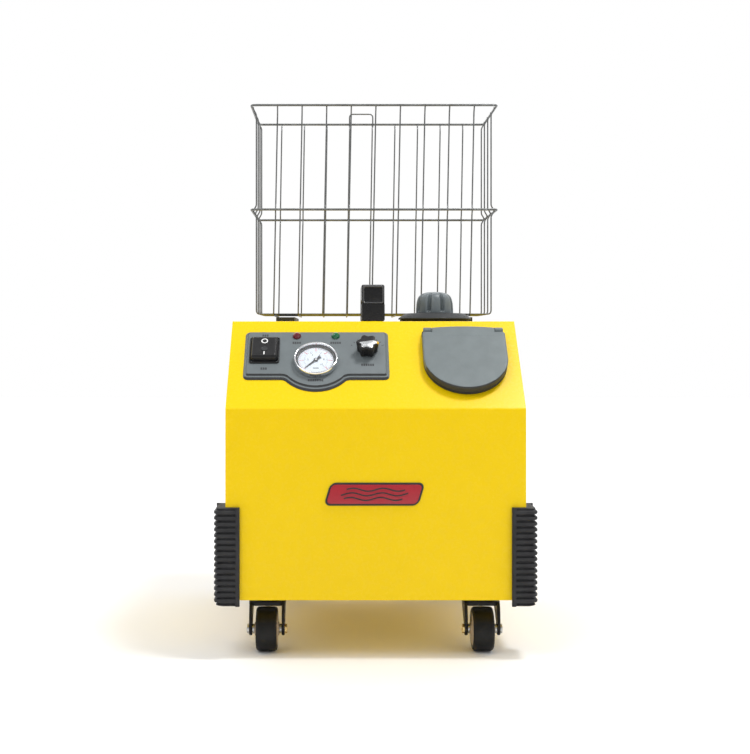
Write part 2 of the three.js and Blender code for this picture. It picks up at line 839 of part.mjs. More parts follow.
function carryHandle() {
  const low = deck + gap;
  const high = deck + handleHeight;
  const shape = new THREE.Shape();
  shape.moveTo(handleStart, low);
  shape.lineTo(handleStart + handleFoot, low);
  shape.lineTo(handleStart + handleFoot, high - handleGrip);
  shape.lineTo(handleEnd - handleFoot, high - handleGrip);
  shape.lineTo(handleEnd - handleFoot, low);
  shape.lineTo(handleEnd, low);
  shape.absarc(handleEnd - handleCorner, high - handleCorner, handleCorner, 0, turn / 4, false);
  shape.absarc(handleStart + handleCorner, high - handleCorner, handleCorner, turn / 4, turn / 2, false);
  return alongX(shape, -handleWidth / 2, handleWidth / 2, 6);
}

const wireCount = 9;
const sideWireCount = 4;
const farY = basketNear + basketDepth;
const halfBasket = basketWidth / 2;

function wirePlace(index) {
  return (index - (wireCount - 1) / 2) * wirePitch;
}

function sideWirePlace(index) {
  return basketNear + (index + 0.5) * basketDepth / sideWireCount;
}

// The upright face of the basket at a given depth, its wires in one plane.
function uprightGrille(y, loopRise) {
  const wires = [basketRim, basketBand].map(
    (z) => rod([-halfBasket, y, z], [halfBasket, y, z], rimWire),
  );
  for (let index = 0; index < wireCount; index += 1) {
    const x = wirePlace(index);
    wires.push(rod([x, y, basketBottom], [x, y, basketRim], thinWire));
  }
  if (loopRise > 0) {
    const right = 0;
    const left = -wirePitch;
    const top = basketRim + loopRise;
    wires.push(rod([left, y, basketRim - 1], [left, y, top], thinWire));
    wires.push(rod([right, y, basketRim - 1], [right, y, top], thinWire));
    wires.push(rod([left - thinWire, y, top], [right + thinWire, y, top], thinWire));
  }
  return join(...wires);
}

function sideGrille(side) {
  const rim = side * halfBasket;
  const inner = side * (halfBasket - sideInset);
  const near = basketNear + rimWire + gap;
  const far = farY - rimWire - gap;
  const wires = [rod([rim, near, basketRim], [rim, far, basketRim], rimWire)];
  wires.push(rod([inner, near, basketBand], [inner, far, basketBand], rimWire));
  for (let index = 0; index < sideWireCount; index += 1) {
    const y = sideWirePlace(index);
    wires.push(rod([inner, y, basketBottom], [inner, y, basketRim - 10], thinWire));
    wires.push(rod([inner, y, basketRim - 10.5], [rim, y, basketRim], thinWire));
  }
  return join(...wires);
}

function bottomGrille() {
  const wires = [];
  const near = basketNear + rimWire + gap;
  const far = farY - rimWire - gap;
  for (let index = 0; index < wireCount; index += 1) {
    const x = wirePlace(index);
    wires.push(rod([x, near, basketBottom], [x, far, basketBottom], thinWire));
  }
  const reach = halfBasket - sideInset - rimWire - gap;
  for (let index = 0; index < sideWireCount; index += 1) {
    const y = sideWirePlace(index);
    wires.push(rod([-reach, y, basketBottom], [reach, y, basketBottom], thinWire));
  }
  return join(...wires);
}

function basketRail() {
  const top = basketBottom - thinWire - gap;
  return block(-railWidth / 2, railWidth / 2, basketNear - 4, farY + 4, deck + gap, top);
}

place(group, 'carry_handle', carryHandle(), blackPlastic);
const basket = new THREE.Group();
basket.position.x = basketX;
group.add(basket);
place(basket, 'basket_front', uprightGrille(basketNear, 0), wireGrey);
place(basket, 'basket_back', uprightGrille(farY, loopHeight), wireGrey);
place(basket, 'basket_left', sideGrille(-1), wireGrey);
place(basket, 'basket_right', sideGrille(1), wireGrey);
place(basket, 'basket_bottom', bottomGrille(), wireGrey);
place(basket, 'basket_rail_left', basketRail(), blackPlastic).position.x = -railSpread;
place(basket, 'basket_rail_right', basketRail(), blackPlastic).position.x = railSpread;

// ---------------------------------------------------------------- boiler and fittings

const boilerEnd = boilerLength / 2;

// Half the shell's outline, dished at both ends, at a given distance inside the outer skin.
function dishedProfile(inset) {
  const steps = 4;
  const radius = boilerRadius - inset;
  const straight = boilerEnd - boilerDish;
  const dish = boilerDish - inset;
  const points = [];
  for (let step = 0; step <= steps; step += 1) {
    const angle = step * turn / 4 / steps;
    points.push([radius * Math.sin(angle), -straight - dish * Math.cos(angle)]);
  }
  for (let step = 0; step <= steps; step += 1) {
    const angle = step * turn / 4 / steps;
    points.push([radius * Math.cos(angle), straight + dish * Math.sin(angle)]);
  }
  points[0][0] = 0;
  points[points.length - 1][0] = 0;
  return points;
}

function boiler() {
  const outside = turned(dishedProfile(0)).rotateY(Math.PI / 2);
  const inside = turned(dishedProfile(boilerWall)).rotateY(Math.PI / 2);
  const neckHole = disc(neckBore, 0, boilerRadius + 10).translate(fillerX - boilerX, 0, 0);
  const heaterHole = disc(heaterFlange - 6, 0, 60, 24).rotateY(-Math.PI / 2);
  return cut(outside, inside, neckHole, heaterHole.translate(-boilerEnd + 40, 0, 0));
}

function heater() {
  const seat = -boilerEnd - gap;
  const flange = disc(heaterFlange, 0, 8, 24).rotateY(-Math.PI / 2).translate(seat, 0, 0);
  const terminal = disc(12, 0, 16, 16).rotateY(-Math.PI / 2).translate(seat - 7, 0, 0);
  const reach = boilerEnd * 0.6;
  const spread = 14;
  const path = new THREE.CurvePath();
  const low = new THREE.Vector3(seat - 1, 0, -spread);
  const lowEnd = new THREE.Vector3(reach, 0, -spread);
  const tip = new THREE.Vector3(reach + spread * 2, 0, 0);
  const highEnd = new THREE.Vector3(reach, 0, spread);
  const high = new THREE.Vector3(seat - 1, 0, spread);
  path.add(new THREE.LineCurve3(low, lowEnd));
  path.add(new THREE.QuadraticBezierCurve3(lowEnd, new THREE.Vector3(tip.x, 0, -spread), tip));
  path.add(new THREE.QuadraticBezierCurve3(tip, new THREE.Vector3(tip.x, 0, spread), highEnd));
  path.add(new THREE.LineCurve3(highEnd, high));
  const circle = new THREE.Shape().absarc(0, 0, 4, 0, turn, false);
  const element = new THREE.ExtrudeGeometry(circle, { steps: 14, extrudePath: path, curveSegments: 3 });
  return join(flange, terminal, element);
}

function boilerCradle() {
  const floor = bodyBottom + sheet + gap;
  const reach = boilerRadius * 0.75;
  const plate = block(-cradleSpread - 20, cradleSpread + 20, -reach, reach, floor, floor + 2);
  const saddles = [-cradleSpread, cradleSpread].map(
    (x) => block(x - 2, x + 2, -reach, reach, floor + 1, boilerZ - boilerRadius * 0.6),
  );
  const shell = disc(boilerRadius + gap, -boilerLength, boilerLength, 64).rotateY(Math.PI / 2);
  return cut(join(plate, ...saddles), shell.translate(0, 0, boilerZ));
}

const boilerCrown = boilerZ + boilerRadius + gap;
const stubRadius = 6;
const stubTop = boilerCrown + 14;

// The threaded stub that a fitting stands on. It runs a little way into the fitting's body.
function stub() {
  return disc(stubRadius, boilerCrown, stubTop + 2, 16);
}

function pressureSwitch() {
  const body = disc(14, stubTop, stubTop + 30, 24);
  return join(stub(), body);
}

function safetyValve() {
  return turned([
    [0, boilerCrown],
    [stubRadius, boilerCrown],
    [stubRadius, boilerCrown + 12],
    [9, boilerCrown + 12],
    [9, boilerCrown + 34],
    [5, boilerCrown + 36],
    [5, boilerCrown + 44],
    [0, boilerCrown + 44],
  ], 16);
}

const valveBodyMid = stubTop + 8;
const valveReach = 16;

function solenoidValve() {
  const bodyTop = stubTop + 16;
  const body = block(-10, 10, -valveReach, 12, stubTop, bodyTop);
  const coil = block(-13, 13, -13, 13, bodyTop, bodyTop + 28);
  return join(stub(), body, coil);
}

const solenoidX = 34;

function steamPipe() {
  const stubEnd = socketTopH - socketDepth - socketTail - gap;
  const socketEnd = new THREE.Vector3(socketX, socketV, stubEnd).applyMatrix4(slope.matrix);
  const inward = new THREE.Vector3(0, 0, -1).transformDirection(slope.matrix);
  const valveEnd = new THREE.Vector3(solenoidX, fillerY - valveReach - gap, valveBodyMid);
  const nearValve = valveEnd.clone().add(new THREE.Vector3(0, -40, 0));
  const nearSocket = socketEnd.clone().addScaledVector(inward, 25);
  const path = new THREE.CubicBezierCurve3(valveEnd, nearValve, nearSocket, socketEnd);
  const circle = new THREE.Shape().absarc(0, 0, pipeRadius, 0, turn, false);
  return new THREE.ExtrudeGeometry(circle, { steps: 14, extrudePath: path, curveSegments: 4 });
}

place(group, 'boiler', boiler(), steel).position.set(boilerX, fillerY, boilerZ);
place(group, 'heater', heater(), zinc).position.set(boilerX, fillerY, boilerZ);
place(group, 'boiler_cradle', boilerCradle(), zinc).position.set(boilerX, fillerY, 0);
place(group, 'safety_valve', safetyValve(), brass).position.set(-40, fillerY, 0);
place(group, 'pressure_switch', pressureSwitch(), blackPlastic).position.set(-6, fillerY, 0);
place(group, 'solenoid_valve', solenoidValve(), blackPlastic).position.set(solenoidX, fillerY, 0);
place(group, 'steam_pipe', steamPipe(), brass);

// ---------------------------------------------------------------- casters

const plateHalf = 28;
const kingpin = 4;
const kingpinHead = 7;
const crownShort = 16;           // the crown's reach from the swivel axis, away from the wheel
const crownLong = 22;            // and over the wheel
const axleEye = 7.5;             // radius of the legs round the axle
const axleHead = 5.6;
const hubBoss = 8;

// The fixed top plate with its race and kingpin. Z is the swivel axis.
function casterPlate() {
  const plate = block(-plateHalf, plateHalf, -plateHalf, plateHalf, plateTop - plateThickness, plateTop);
  const headTop = crownTop - crownThickness - gap;
  const stem = turned([
    [0, headTop - 3],
    [kingpinHead, headTop - 3],
    [kingpinHead, headTop],
    [kingpin, headTop],
    [kingpin, raceLow],
    [19, raceLow],
    [21, raceLow + 3],
    [21, plateTop - 2],
    [0, plateTop - 2],
  ], 16);
  return join(plate, stem);
}

// The fork, about its swivel axis; the axle lies on the -Y side for the front pair.
function casterFork(lead) {
  const axleY = lead * casterTrail;
  const crownFront = lead < 0 ? crownLong : crownShort;
  const crownBack = lead < 0 ? crownShort : crownLong;
  const shape = new THREE.Shape();
  shape.moveTo(crownBack, crownTop);
  shape.lineTo(-crownFront, crownTop);
  shape.absarc(axleY, wheelRadius, axleEye, turn / 2, turn, false);
  const full = alongX(shape, -forkWidth / 2, forkWidth / 2, 5);
  const crownUnder = crownTop - crownThickness;
  const between = block(-forkGap / 2, forkGap / 2, -80, 80, -10, crownUnder);
  const legOut = forkGap / 2 + forkLeg;
  const outside = [-1, 1].map((s) => block(
    Math.min(s * legOut, s * forkWidth),
    Math.max(s * legOut, s * forkWidth),
    -80,
    80,
    -10,
    crownUnder,
  ));
  const bore = disc(kingpin + gap, crownUnder - 5, crownTop + 5, 16);
  const axleHole = rod([-40, axleY, wheelRadius], [40, axleY, wheelRadius], axleRadius + gap, 16);
  return cut(full, between, ...outside, bore, axleHole);
}

// The wheel's section, from its bore out to the tread, turned about X.
function casterWheel() {
  const [tread, hub] = [treadWidth / 2, hubWidth / 2];
  const bore = axleRadius + gap;
  const profile = [
    [bore, -hub],
    [hubBoss, -hub],
    [18, -tread + 1],
    [wheelRadius - 2.5, -tread],
    [wheelRadius, -tread + 4],
    [wheelRadius, tread - 4],
    [wheelRadius - 2.5, tread],
    [18, tread - 1],
    [hubBoss, hub],
    [bore, hub],
    [bore, -hub],
  ];
  return turned(profile, 24).rotateY(Math.PI / 2);
}

function casterAxle(outboard) {
  const leg = forkGap / 2 + forkLeg + gap;
  const shank = rod([-leg - 1, 0, 0], [leg + 1, 0, 0], axleRadius, 16);
  const cap = axleLength / 2 - leg;
  const head = disc(axleHead, 0, cap, 12).rotateY(outboard * Math.PI / 2).translate(outboard * leg, 0, 0);
  const nut = disc(axleHead, 0, cap, 6).rotateY(-outboard * Math.PI / 2).translate(-outboard * leg, 0, 0);
  return join(shank, head, nut);
}

for (const [sideName, side] of [['left', -1], ['right', 1]]) {
  for (const [endName, end] of [['front', -1], ['rear', 1]]) {
    const corner = `${endName}_${sideName}`;
    const caster = new THREE.Group();
    caster.position.set(side * casterX, end * casterY, 0);
    group.add(caster);
    place(caster, `caster_plate_${corner}`, casterPlate(), zinc);
    place(caster, `caster_fork_${corner}`, casterFork(end), blackPlastic);
    const wheel = place(caster, `caster_wheel_${corner}`, casterWheel(), blackRubber);
    wheel.position.set(0, end * casterTrail, wheelRadius);
    const axle = place(caster, `caster_axle_${corner}`, casterAxle(side), zinc);
    axle.position.set(0, end * casterTrail, wheelRadius);
  }
}

export default group;
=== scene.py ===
import json
import math
from math import cos, sin

import bmesh
import bpy
from mathutils import Matrix, Vector


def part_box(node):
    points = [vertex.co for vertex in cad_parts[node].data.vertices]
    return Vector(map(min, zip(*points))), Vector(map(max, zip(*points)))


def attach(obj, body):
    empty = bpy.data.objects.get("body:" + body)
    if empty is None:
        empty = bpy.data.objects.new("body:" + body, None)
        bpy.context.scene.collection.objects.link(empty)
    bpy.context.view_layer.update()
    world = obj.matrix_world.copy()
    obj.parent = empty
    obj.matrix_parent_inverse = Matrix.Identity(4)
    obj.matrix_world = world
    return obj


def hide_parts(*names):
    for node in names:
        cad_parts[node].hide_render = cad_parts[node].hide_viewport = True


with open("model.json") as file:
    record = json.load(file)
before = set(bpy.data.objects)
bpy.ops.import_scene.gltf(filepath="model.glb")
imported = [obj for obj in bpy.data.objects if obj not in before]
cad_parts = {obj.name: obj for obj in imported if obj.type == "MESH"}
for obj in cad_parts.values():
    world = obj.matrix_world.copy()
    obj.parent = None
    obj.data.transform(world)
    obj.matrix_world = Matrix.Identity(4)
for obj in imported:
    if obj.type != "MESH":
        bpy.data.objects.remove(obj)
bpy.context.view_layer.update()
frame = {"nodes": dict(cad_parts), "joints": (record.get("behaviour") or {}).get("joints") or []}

# Lengths in the shape functions are millimetres. MM brings them to the frame's metres.
MM = Matrix.Scale(0.001, 4)
FULL = math.tau
JOINTS = {joint["name"]: joint for joint in frame["joints"]}


def node_mm(node):
    """A CAD node's lowest and highest corners at rest, in millimetres."""
    low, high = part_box(node)
    return low * 1000, high * 1000


def pivot_mm(joint):
    return Vector(JOINTS[joint]["pos_m"]) * 1000


def spin(angle, axis):
    return Matrix.Rotation(angle, 4, axis)


def slide(x, y, z):
    return Matrix.Translation((x, y, z))


def polar(radius, angle):
    return radius * cos(angle), radius * sin(angle)


# ---- places

cover_low, cover_high = node_mm("front_cover")
FRONT = cover_low.y
DECK = cover_high.z
SLOPE_RISE = 100
FOLD = DECK - SLOPE_RISE
HALF_WIDTH = cover_high.x
HALF_DEPTH = cover_high.y

STAND_UP = spin(FULL / 4, "X")
SLOPE_MM = slide(0, FRONT, FOLD) @ spin(FULL / 8, "X")


def at(x, y, z):
    """Places a shape made in millimetres at a point of the frame."""
    return MM @ slide(x, y, z)


def on_slope(x, v, h=0.0):
    """Places a shape on the slope: x across, v up the slope from the fold, h out of it."""
    return MM @ SLOPE_MM @ slide(x, v, h)


def slope_spot(joint):
    """A joint's place in the slope's own x, v and h."""
    return SLOPE_MM.inverted() @ pivot_mm(joint)


# ---- materials

def set_inputs(node, values):
    for key, value in values.items():
        node.inputs[key].default_value = value


def shader(name, color, roughness, metallic=0.0):
    material = bpy.data.materials.new(name)
    material.use_nodes = True
    surface = material.node_tree.nodes["Principled BSDF"]
    set_inputs(surface, {"Base Color": (*color, 1), "Roughness": roughness, "Metallic": metallic})
    return material, surface


def add_node(owner, kind, **values):
    node = owner.node_tree.nodes.new(kind)
    set_inputs(node, values)
    return node


def noise(material, scale, detail=3.0, stretch=(1, 1, 1)):
    """Noise over the object's own coordinates; scale is in cells a metre."""
    links = material.node_tree.links
    coords = add_node(material, "ShaderNodeTexCoord")
    mapping = add_node(material, "ShaderNodeMapping", Scale=stretch)
    texture = add_node(material, "ShaderNodeTexNoise", Scale=scale, Detail=detail)
    links.new(coords.outputs["Object"], mapping.inputs["Vector"])
    links.new(mapping.outputs["Vector"], texture.inputs["Vector"])
    return texture.outputs["Fac"]


def vary_color(material, surface, dark, light, scale, detail=3.0, stretch=(1, 1, 1)):
    """Lets the colour wander between two near tones."""
    links = material.node_tree.links
    ramp = add_node(material, "ShaderNodeValToRGB")
    for element, position, tone in zip(ramp.color_ramp.elements, (0.35, 0.65), (dark, light)):
        element.position = position
        element.color = (*tone, 1)
    links.new(noise(material, scale, detail, stretch), ramp.inputs["Fac"])
    links.new(ramp.outputs["Color"], surface.inputs["Base Color"])


def rescale(owner, value, span, result):
    """Maps a node's value from one span to another."""
    ends = zip(("From Min", "From Max", "To Min", "To Max"), (*span, *result))
    node = add_node(owner, "ShaderNodeMapRange", **dict(ends))
    owner.node_tree.links.new(value, node.inputs["Value"])
    return node.outputs["Result"]


def vary_roughness(material, surface, low, high, scale, stretch=(1, 1, 1)):
    level = rescale(material, noise(material, scale, 4.0, stretch), (0.3, 0.7), (low, high))
    material.node_tree.links.new(level, surface.inputs["Roughness"])


def emboss(material, surface, height, strength, distance):
    links = material.node_tree.links
    bump = add_node(material, "ShaderNodeBump", Strength=strength, Distance=distance)
    links.new(height, bump.inputs["Height"])
    links.new(bump.outputs["Normal"], surface.inputs["Normal"])


def tones(color, spread):
    dark = tuple(c * (1 - spread) for c in color)
    light = tuple(min(1.0, c * (1 + spread)) for c in color)
    return dark, light


def coat(name, color, roughness, tone, rough, grain, shine=0.5, metallic=0.0):
    """A coat or rubber whose tone, roughness and grain wander a little.

    tone: spread, scale, detail. rough: low, high, scale. grain: scale, detail, strength, depth.
    """
    material, surface = shader(name, color, roughness, metallic)
    spread, *tone_noise = tone
    *grain_noise, strength, depth = grain
    vary_color(material, surface, *tones(color, spread), *tone_noise)
    vary_roughness(material, surface, *rough)
    emboss(material, surface, noise(material, *grain_noise), strength, depth)
    set_inputs(surface, {"Specular IOR Level": shine})
    return material


def moulded(name, color, roughness, grain=0.22, shine=0.3):
    """Injection-moulded plastic with a spark-eroded grain."""
    material, surface = shader(name, color, roughness)
    vary_color(material, surface, *tones(color, 0.05), 55, 5.0)
    vary_roughness(material, surface, roughness - 0.06, roughness + 0.07, 150)
    cells = add_node(material, "ShaderNodeTexVoronoi", Scale=1500)
    coords = add_node(material, "ShaderNodeTexCoord")
    material.node_tree.links.new(coords.outputs["Object"], cells.inputs["Vector"])
    emboss(material, surface, cells.outputs["Distance"], grain, 0.0002)
    set_inputs(surface, {"Specular IOR Level": shine})
    return material


def polished_chrome():
    material, surface = shader("polished_chrome", (0.82, 0.83, 0.85), 0.08, 1.0)
    vary_color(material, surface, (0.78, 0.79, 0.81), (0.86, 0.87, 0.88), 40)
    vary_roughness(material, surface, 0.05, 0.12, 120)
    return material


def plated(name, color, roughness, stretch):
    """Plated or machined metal, its fine marks drawn out along one way."""
    material, surface = shader(name, color, roughness, 1.0)
    vary_color(material, surface, *tones(color, 0.1), 60, 6.0, stretch)
    vary_roughness(material, surface, roughness - 0.1, roughness + 0.14, 120, stretch)
    emboss(material, surface, noise(material, 900, 3.0, stretch), 0.12, 0.0002)
    return material


def lens_plastic(name, color):
    material, surface = shader(name, color, 0.12)
    vary_color(material, surface, *tones(color, 0.12), 260)
    set_inputs(surface, {"Coat Weight": 0.6, "Coat Roughness": 0.05})
    set_inputs(surface, {"Emission Color": (*color, 1), "Emission Strength": 0.1})
    return material


def clear_glass():
    material, surface = shader("clear_glass", (0.95, 0.97, 0.98), 0.03)
    vary_roughness(material, surface, 0.02, 0.05, 30)
    set_inputs(surface, {"Alpha": 0.05, "IOR": 1.3})
    return material


def printed(name, color, roughness=0.5):
    material, surface = shader(name, color, roughness)
    vary_color(material, surface, *tones(color, 0.04), 300, 4.0)
    emboss(material, surface, noise(material, 1800, 2.0), 0.05, 0.0001)
    return material


YELLOW = coat(
    "yellow_powder_coat", (0.92, 0.63, 0.002), 0.3,
    tone=(0.006, 9, 3.0), rough=(0.265, 0.28, 240), grain=(1100, 1.0, 0.03, 0.0002), shine=0.2,
)
RUBBER = coat(
    "charcoal_rubber", (0.03, 0.03, 0.032), 0.6,
    tone=(0.18, 90, 6.0), rough=(0.5, 0.7, 200), grain=(1400, 4.0, 0.3, 0.0003), shine=0.25,
)
BLACK_PAINT = coat(
    "black_paint", (0.012, 0.012, 0.013), 0.35,
    tone=(0.2, 120, 5.0), rough=(0.28, 0.48, 180), grain=(700, 3.0, 0.2, 0.0003), shine=0.25,
)
TREAD = coat(
    "caster_tread", (0.009, 0.009, 0.009), 0.4,
    tone=(0.25, 110, 5.0), rough=(0.33, 0.55, 170), grain=(900, 4.0, 0.25, 0.0003), shine=0.25,
)
WIRE = coat(
    "coated_wire", (0.15, 0.155, 0.155), 0.38,
    tone=(0.16, 70, 4.0), rough=(0.28, 0.46, 160), grain=(1100, 2.0, 0.15, 0.0002), metallic=0.5,
)
GREY = moulded("grey_plastic", (0.152, 0.176, 0.184), 0.5)
# This much darker grey is painted shade, put on walls that face down the slope where shade falls.
GREY_PAINTED_SHADE = moulded("grey_plastic_painted_shade", (0.042, 0.044, 0.046), 0.5)
LID_GREY = moulded("lid_plastic", (0.155, 0.183, 0.188), 0.48)
CAP_GREY = moulded("cap_plastic", (0.137, 0.161, 0.172), 0.36, 0.15, 0.5)
DARK = moulded("dark_plastic", (0.027, 0.029, 0.031), 0.5)
BLACK = moulded("black_plastic", (0.011, 0.011, 0.012), 0.33, 0.12)
GLOSS_BLACK = moulded("gloss_black_plastic", (0.011, 0.011, 0.012), 0.2, 0.05, 0.4)
# The rim plastic's lighter colour is a painted highlight for the glints along the handle rim's edges; its
# high shine is real gloss.
RIM_PAINTED_GLINT = moulded("rim_plastic_painted_glint", (0.045, 0.045, 0.048), 0.16, 0.05, 1.0)
CHROME = polished_chrome()
ZINC = plated("zinc_plate", (0.62, 0.63, 0.64), 0.34, (1, 1, 6))
YELLOW_ZINC = plated("yellow_zinc_plate", (0.66, 0.5, 0.22), 0.34, (1, 1, 4))
STEEL = plated("stainless_steel", (0.56, 0.57, 0.58), 0.3, (12, 1, 1))
BRASS = plated("machined_brass", (0.69, 0.5, 0.2), 0.28, (1, 1, 8))
HUB = moulded("hub_plastic", (0.5, 0.4, 0.3), 0.5)
RED_LENS = lens_plastic("red_lens", (0.12, 0.004, 0.011))
GREEN_LENS = lens_plastic("green_lens", (0.001, 0.115, 0.04))
GLASS = clear_glass()
DIAL = printed("dial_enamel", (0.76, 0.83, 0.9))
INK = printed("black_ink", (0.012, 0.012, 0.014))
RED_INK = printed("red_ink", (0.62, 0.05, 0.06))
PALE_INK = printed("pale_ink", (0.8, 0.8, 0.79))
GREY_INK = printed("grey_ink", (0.03, 0.034, 0.038))
BADGE_RED = printed("badge_red", (0.4, 0.012, 0.024), 0.3)
# This silver is used only for the knob's painted reflection.
KNOB_REFLECTION_SILVER = plated("knob_reflection_silver", (0.5, 0.51, 0.52), 0.26, (1, 6, 1))
POINTER = printed("pointer_yellow", (0.75, 0.42, 0.02), 0.35)


# ---- mesh helpers

def smooth(mesh, sharp):
    mesh.shade_smooth()
    mesh.set_sharp_from_angle(angle=math.radians(sharp))


def skin_mesh(name, points, faces, place):
    """A mesh in the frame's metres with its faces turned outward."""
    mesh = bpy.data.meshes.new(name)
    mesh.from_pydata([place @ Vector(point) for point in points], [], faces)
    sculpt = bmesh.new()
    sculpt.from_mesh(mesh)
    bmesh.ops.recalc_face_normals(sculpt, faces=sculpt.faces)
    sculpt.to_mesh(mesh)
    sculpt.free()
    return mesh


def link_object(name, data):
    item = bpy.data.objects.new(name, data)
    bpy.context.scene.collection.objects.link(item)
    return item


def add_piece(name, points, faces, place, material, body="machine", sharp=32.0):
    mesh = skin_mesh(name, points, faces, place)
    smooth(mesh, sharp)
    mesh.materials.append(material)
    piece = link_object(name, mesh)
    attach(piece, body)
    return piece


def bridge(rings, closed=False):
    """Joins rings of equal count, or of one point, into a closed skin. Open ends get a cap."""
    points = []
    starts = []
    for ring in rings:
        starts.append(len(points))
        points.extend(ring)
    faces = []
    pairs = list(zip(range(len(rings)), range(1, len(rings))))
    if closed:
        pairs.append((len(rings) - 1, 0))
    for a, b in pairs:
        na, nb = len(rings[a]), len(rings[b])
        for i in range(max(na, nb)):
            j = (i + 1) % max(na, nb)
            a0, a1 = starts[a] + i % na, starts[a] + j % na
            b0, b1 = starts[b] + i % nb, starts[b] + j % nb
            faces.append(list(dict.fromkeys((a0, a1, b1, b0))))
    if not closed:
        for index in (0, -1):
            count = len(rings[index])
            if count > 2:
                faces.append([starts[index] + i for i in range(count)])
    return points, faces


def merge(*parts):
    """Puts several (points, faces) skins into one."""
    points = []
    faces = []
    for part_points, part_faces in parts:
        base = len(points)
        points.extend(part_points)
        faces.extend([[base + i for i in face] for face in part_faces])
    return points, faces


def shift(part, place):
    points, faces = part
    return [place @ Vector(point) for point in points], faces


def fillet(points, closed=False, steps=4):
    """Rounds the corners of a path. Each point ends with its fillet's length."""
    rounded = []
    count = len(points)
    for index, point in enumerate(points):
        corner, size = Vector(point[:-1]), point[-1]
        ends = index in (0, count - 1) and not closed
        if ends or size <= 0:
            rounded.append(corner)
            continue
        before = Vector(points[index - 1][:-1])
        after = Vector(points[(index + 1) % count][:-1])
        start = corner + (before - corner).normalized() * size
        end = corner + (after - corner).normalized() * size
        for step in range(steps + 1):
            t = step / steps
            rounded.append(start * (1 - t) ** 2 + corner * 2 * t * (1 - t) + end * t ** 2)
    return rounded


def arc(cx, cy, radius, start, end, steps):
    """Points on an arc, both ends included. Angles are in turns."""
    result = []
    for step in range(steps + 1):
        x, y = polar(radius, FULL * (start + (end - start) * step / steps))
        result.append((cx + x, cy + y))
    return result


def circle(radius, z, count=64):
    if radius < 1e-6:
        return [(0, 0, z)]
    return [(*polar(radius, FULL * i / count), z) for i in range(count)]


def lathe(profile, count=64, closed=False, steps=4):
    """Turns a profile of (radius, height, fillet) about Z."""
    rings = [circle(p.x, p.y, count) for p in fillet(profile, closed, steps)]
    return bridge(rings, closed)


def rounded_box(width, length, corner, steps=6):
    """A rounded rectangle about the middle."""
    x, y = width / 2 - corner, length / 2 - corner
    outline = []
    for quarter, (side, end) in enumerate(((1, 1), (-1, 1), (-1, -1), (1, -1))):
        outline += arc(side * x, end * y, corner, quarter / 4, (quarter + 1) / 4, steps)
    return outline


def box_outline(width, length, corner):
    """An outline that shrinks by an inset, with its corners kept round."""
    def outline(inset):
        return rounded_box(width - 2 * inset, length - 2 * inset, max(corner - inset, 0.2))
    return outline


def layers(outline, steps):
    """Rings of one outline at (inset, height) steps."""
    return [[(x, y, height) for x, y in outline(inset)] for inset, height in steps]


def round_edge(inset, top, radius, steps=4):
    """(inset, height) steps over a rounded top edge."""
    result = []
    for step in range(steps + 1):
        angle = FULL / 4 * step / steps
        result.append((inset + radius * (1 - cos(angle)), top - radius * (1 - sin(angle))))
    return result


def block(x0, x1, y0, y1, z0, z1):
    """A plain box between two corners."""
    base = [(x0, y0), (x1, y0), (x1, y1), (x0, y1)]
    return bridge([[(x, y, z) for x, y in base] for z in (z0, z1)])


def slab(outline, low, high, edge=0.4, foot=0.0):
    """A plate with a rounded top edge, and a rounded foot if asked."""
    steps = [(0, low)]
    if foot:
        steps = [(inset, low + high - z) for inset, z in reversed(round_edge(0, high, foot))]
    return bridge(layers(outline, steps + round_edge(0, high, edge)))


def tube(path, radius, normal, sides=10, closed=False):
    """A round wire along a flat path; normal is the path's plane."""
    path = [Vector(point) for point in path]
    count = len(path)
    normal = Vector(normal).normalized()
    rings = []
    for index, point in enumerate(path):
        if closed:
            ahead, behind = path[(index + 1) % count], path[index - 1]
        else:
            ahead, behind = path[min(index + 1, count - 1)], path[max(index - 1, 0)]
        along = (ahead - behind).normalized()
        across = along.cross(normal).normalized()
        up = across.cross(along)
        ring = []
        for side in range(sides):
            angle = FULL * side / sides
            ring.append(point + (across * cos(angle) + up * sin(angle)) * radius)
        rings.append(ring)
    return bridge(rings, closed)


def turn_z_to_x(part):
    """Lays a shape built along Z down along X."""
    return shift(part, spin(FULL / 4, "Y"))


def cut_away(piece, points, faces, place):
    """Cuts a closed skin out of a piece."""
    tool = link_object("tool", skin_mesh("tool", points, faces, place))
    modifier = piece.modifiers.new("boolean", "BOOLEAN")
    modifier.operation = "DIFFERENCE"
    modifier.solver = "EXACT"
    modifier.object = tool
    depsgraph = bpy.context.evaluated_depsgraph_get()
    result = bpy.data.meshes.new_from_object(piece.evaluated_get(depsgraph))
    piece.modifiers.clear()
    piece.data = result
    smooth(result, 32.0)
    bpy.data.objects.remove(tool)


def dress(node, material, bevel=0.0):
    """Gives a CAD node its finish, smooth round faces and, if asked, a fine edge."""
    piece = frame["nodes"][node]
    piece.data.materials.clear()
    piece.data.materials.append(material)
    smooth(piece.data, 30.0)
    if bevel:
        modifier = piece.modifiers.new("edge", "BEVEL")
        modifier.width = bevel / 1000
        modifier.segments = 2
        modifier.limit_method = "ANGLE"
        modifier.angle_limit = math.radians(45)
        modifier.harden_normals = True


# ---- housing

def rear_screw(x, z, turn):
    """A pan head on the rear cover, with a cross recess."""
    length, width, floor, above = 1.9, 0.35, 0.8, 3
    head = lathe([(0, -0.2, 0), (3.4, -0.2, 0), (3.4, 0.6, 0.3), (2.4, 1.5, 0.5), (0, 1.9, 0)], 32)
    place = at(x, HALF_DEPTH, z) @ spin(-FULL / 4, "X") @ spin(turn, "Z")
    piece = add_piece(f"rear_screw_{int(x)}_{int(z)}", *head, place, ZINC)
    for a, b in ((length, width), (width, length)):
        cut_away(piece, *block(-a, a, -b, b, floor, above), place)


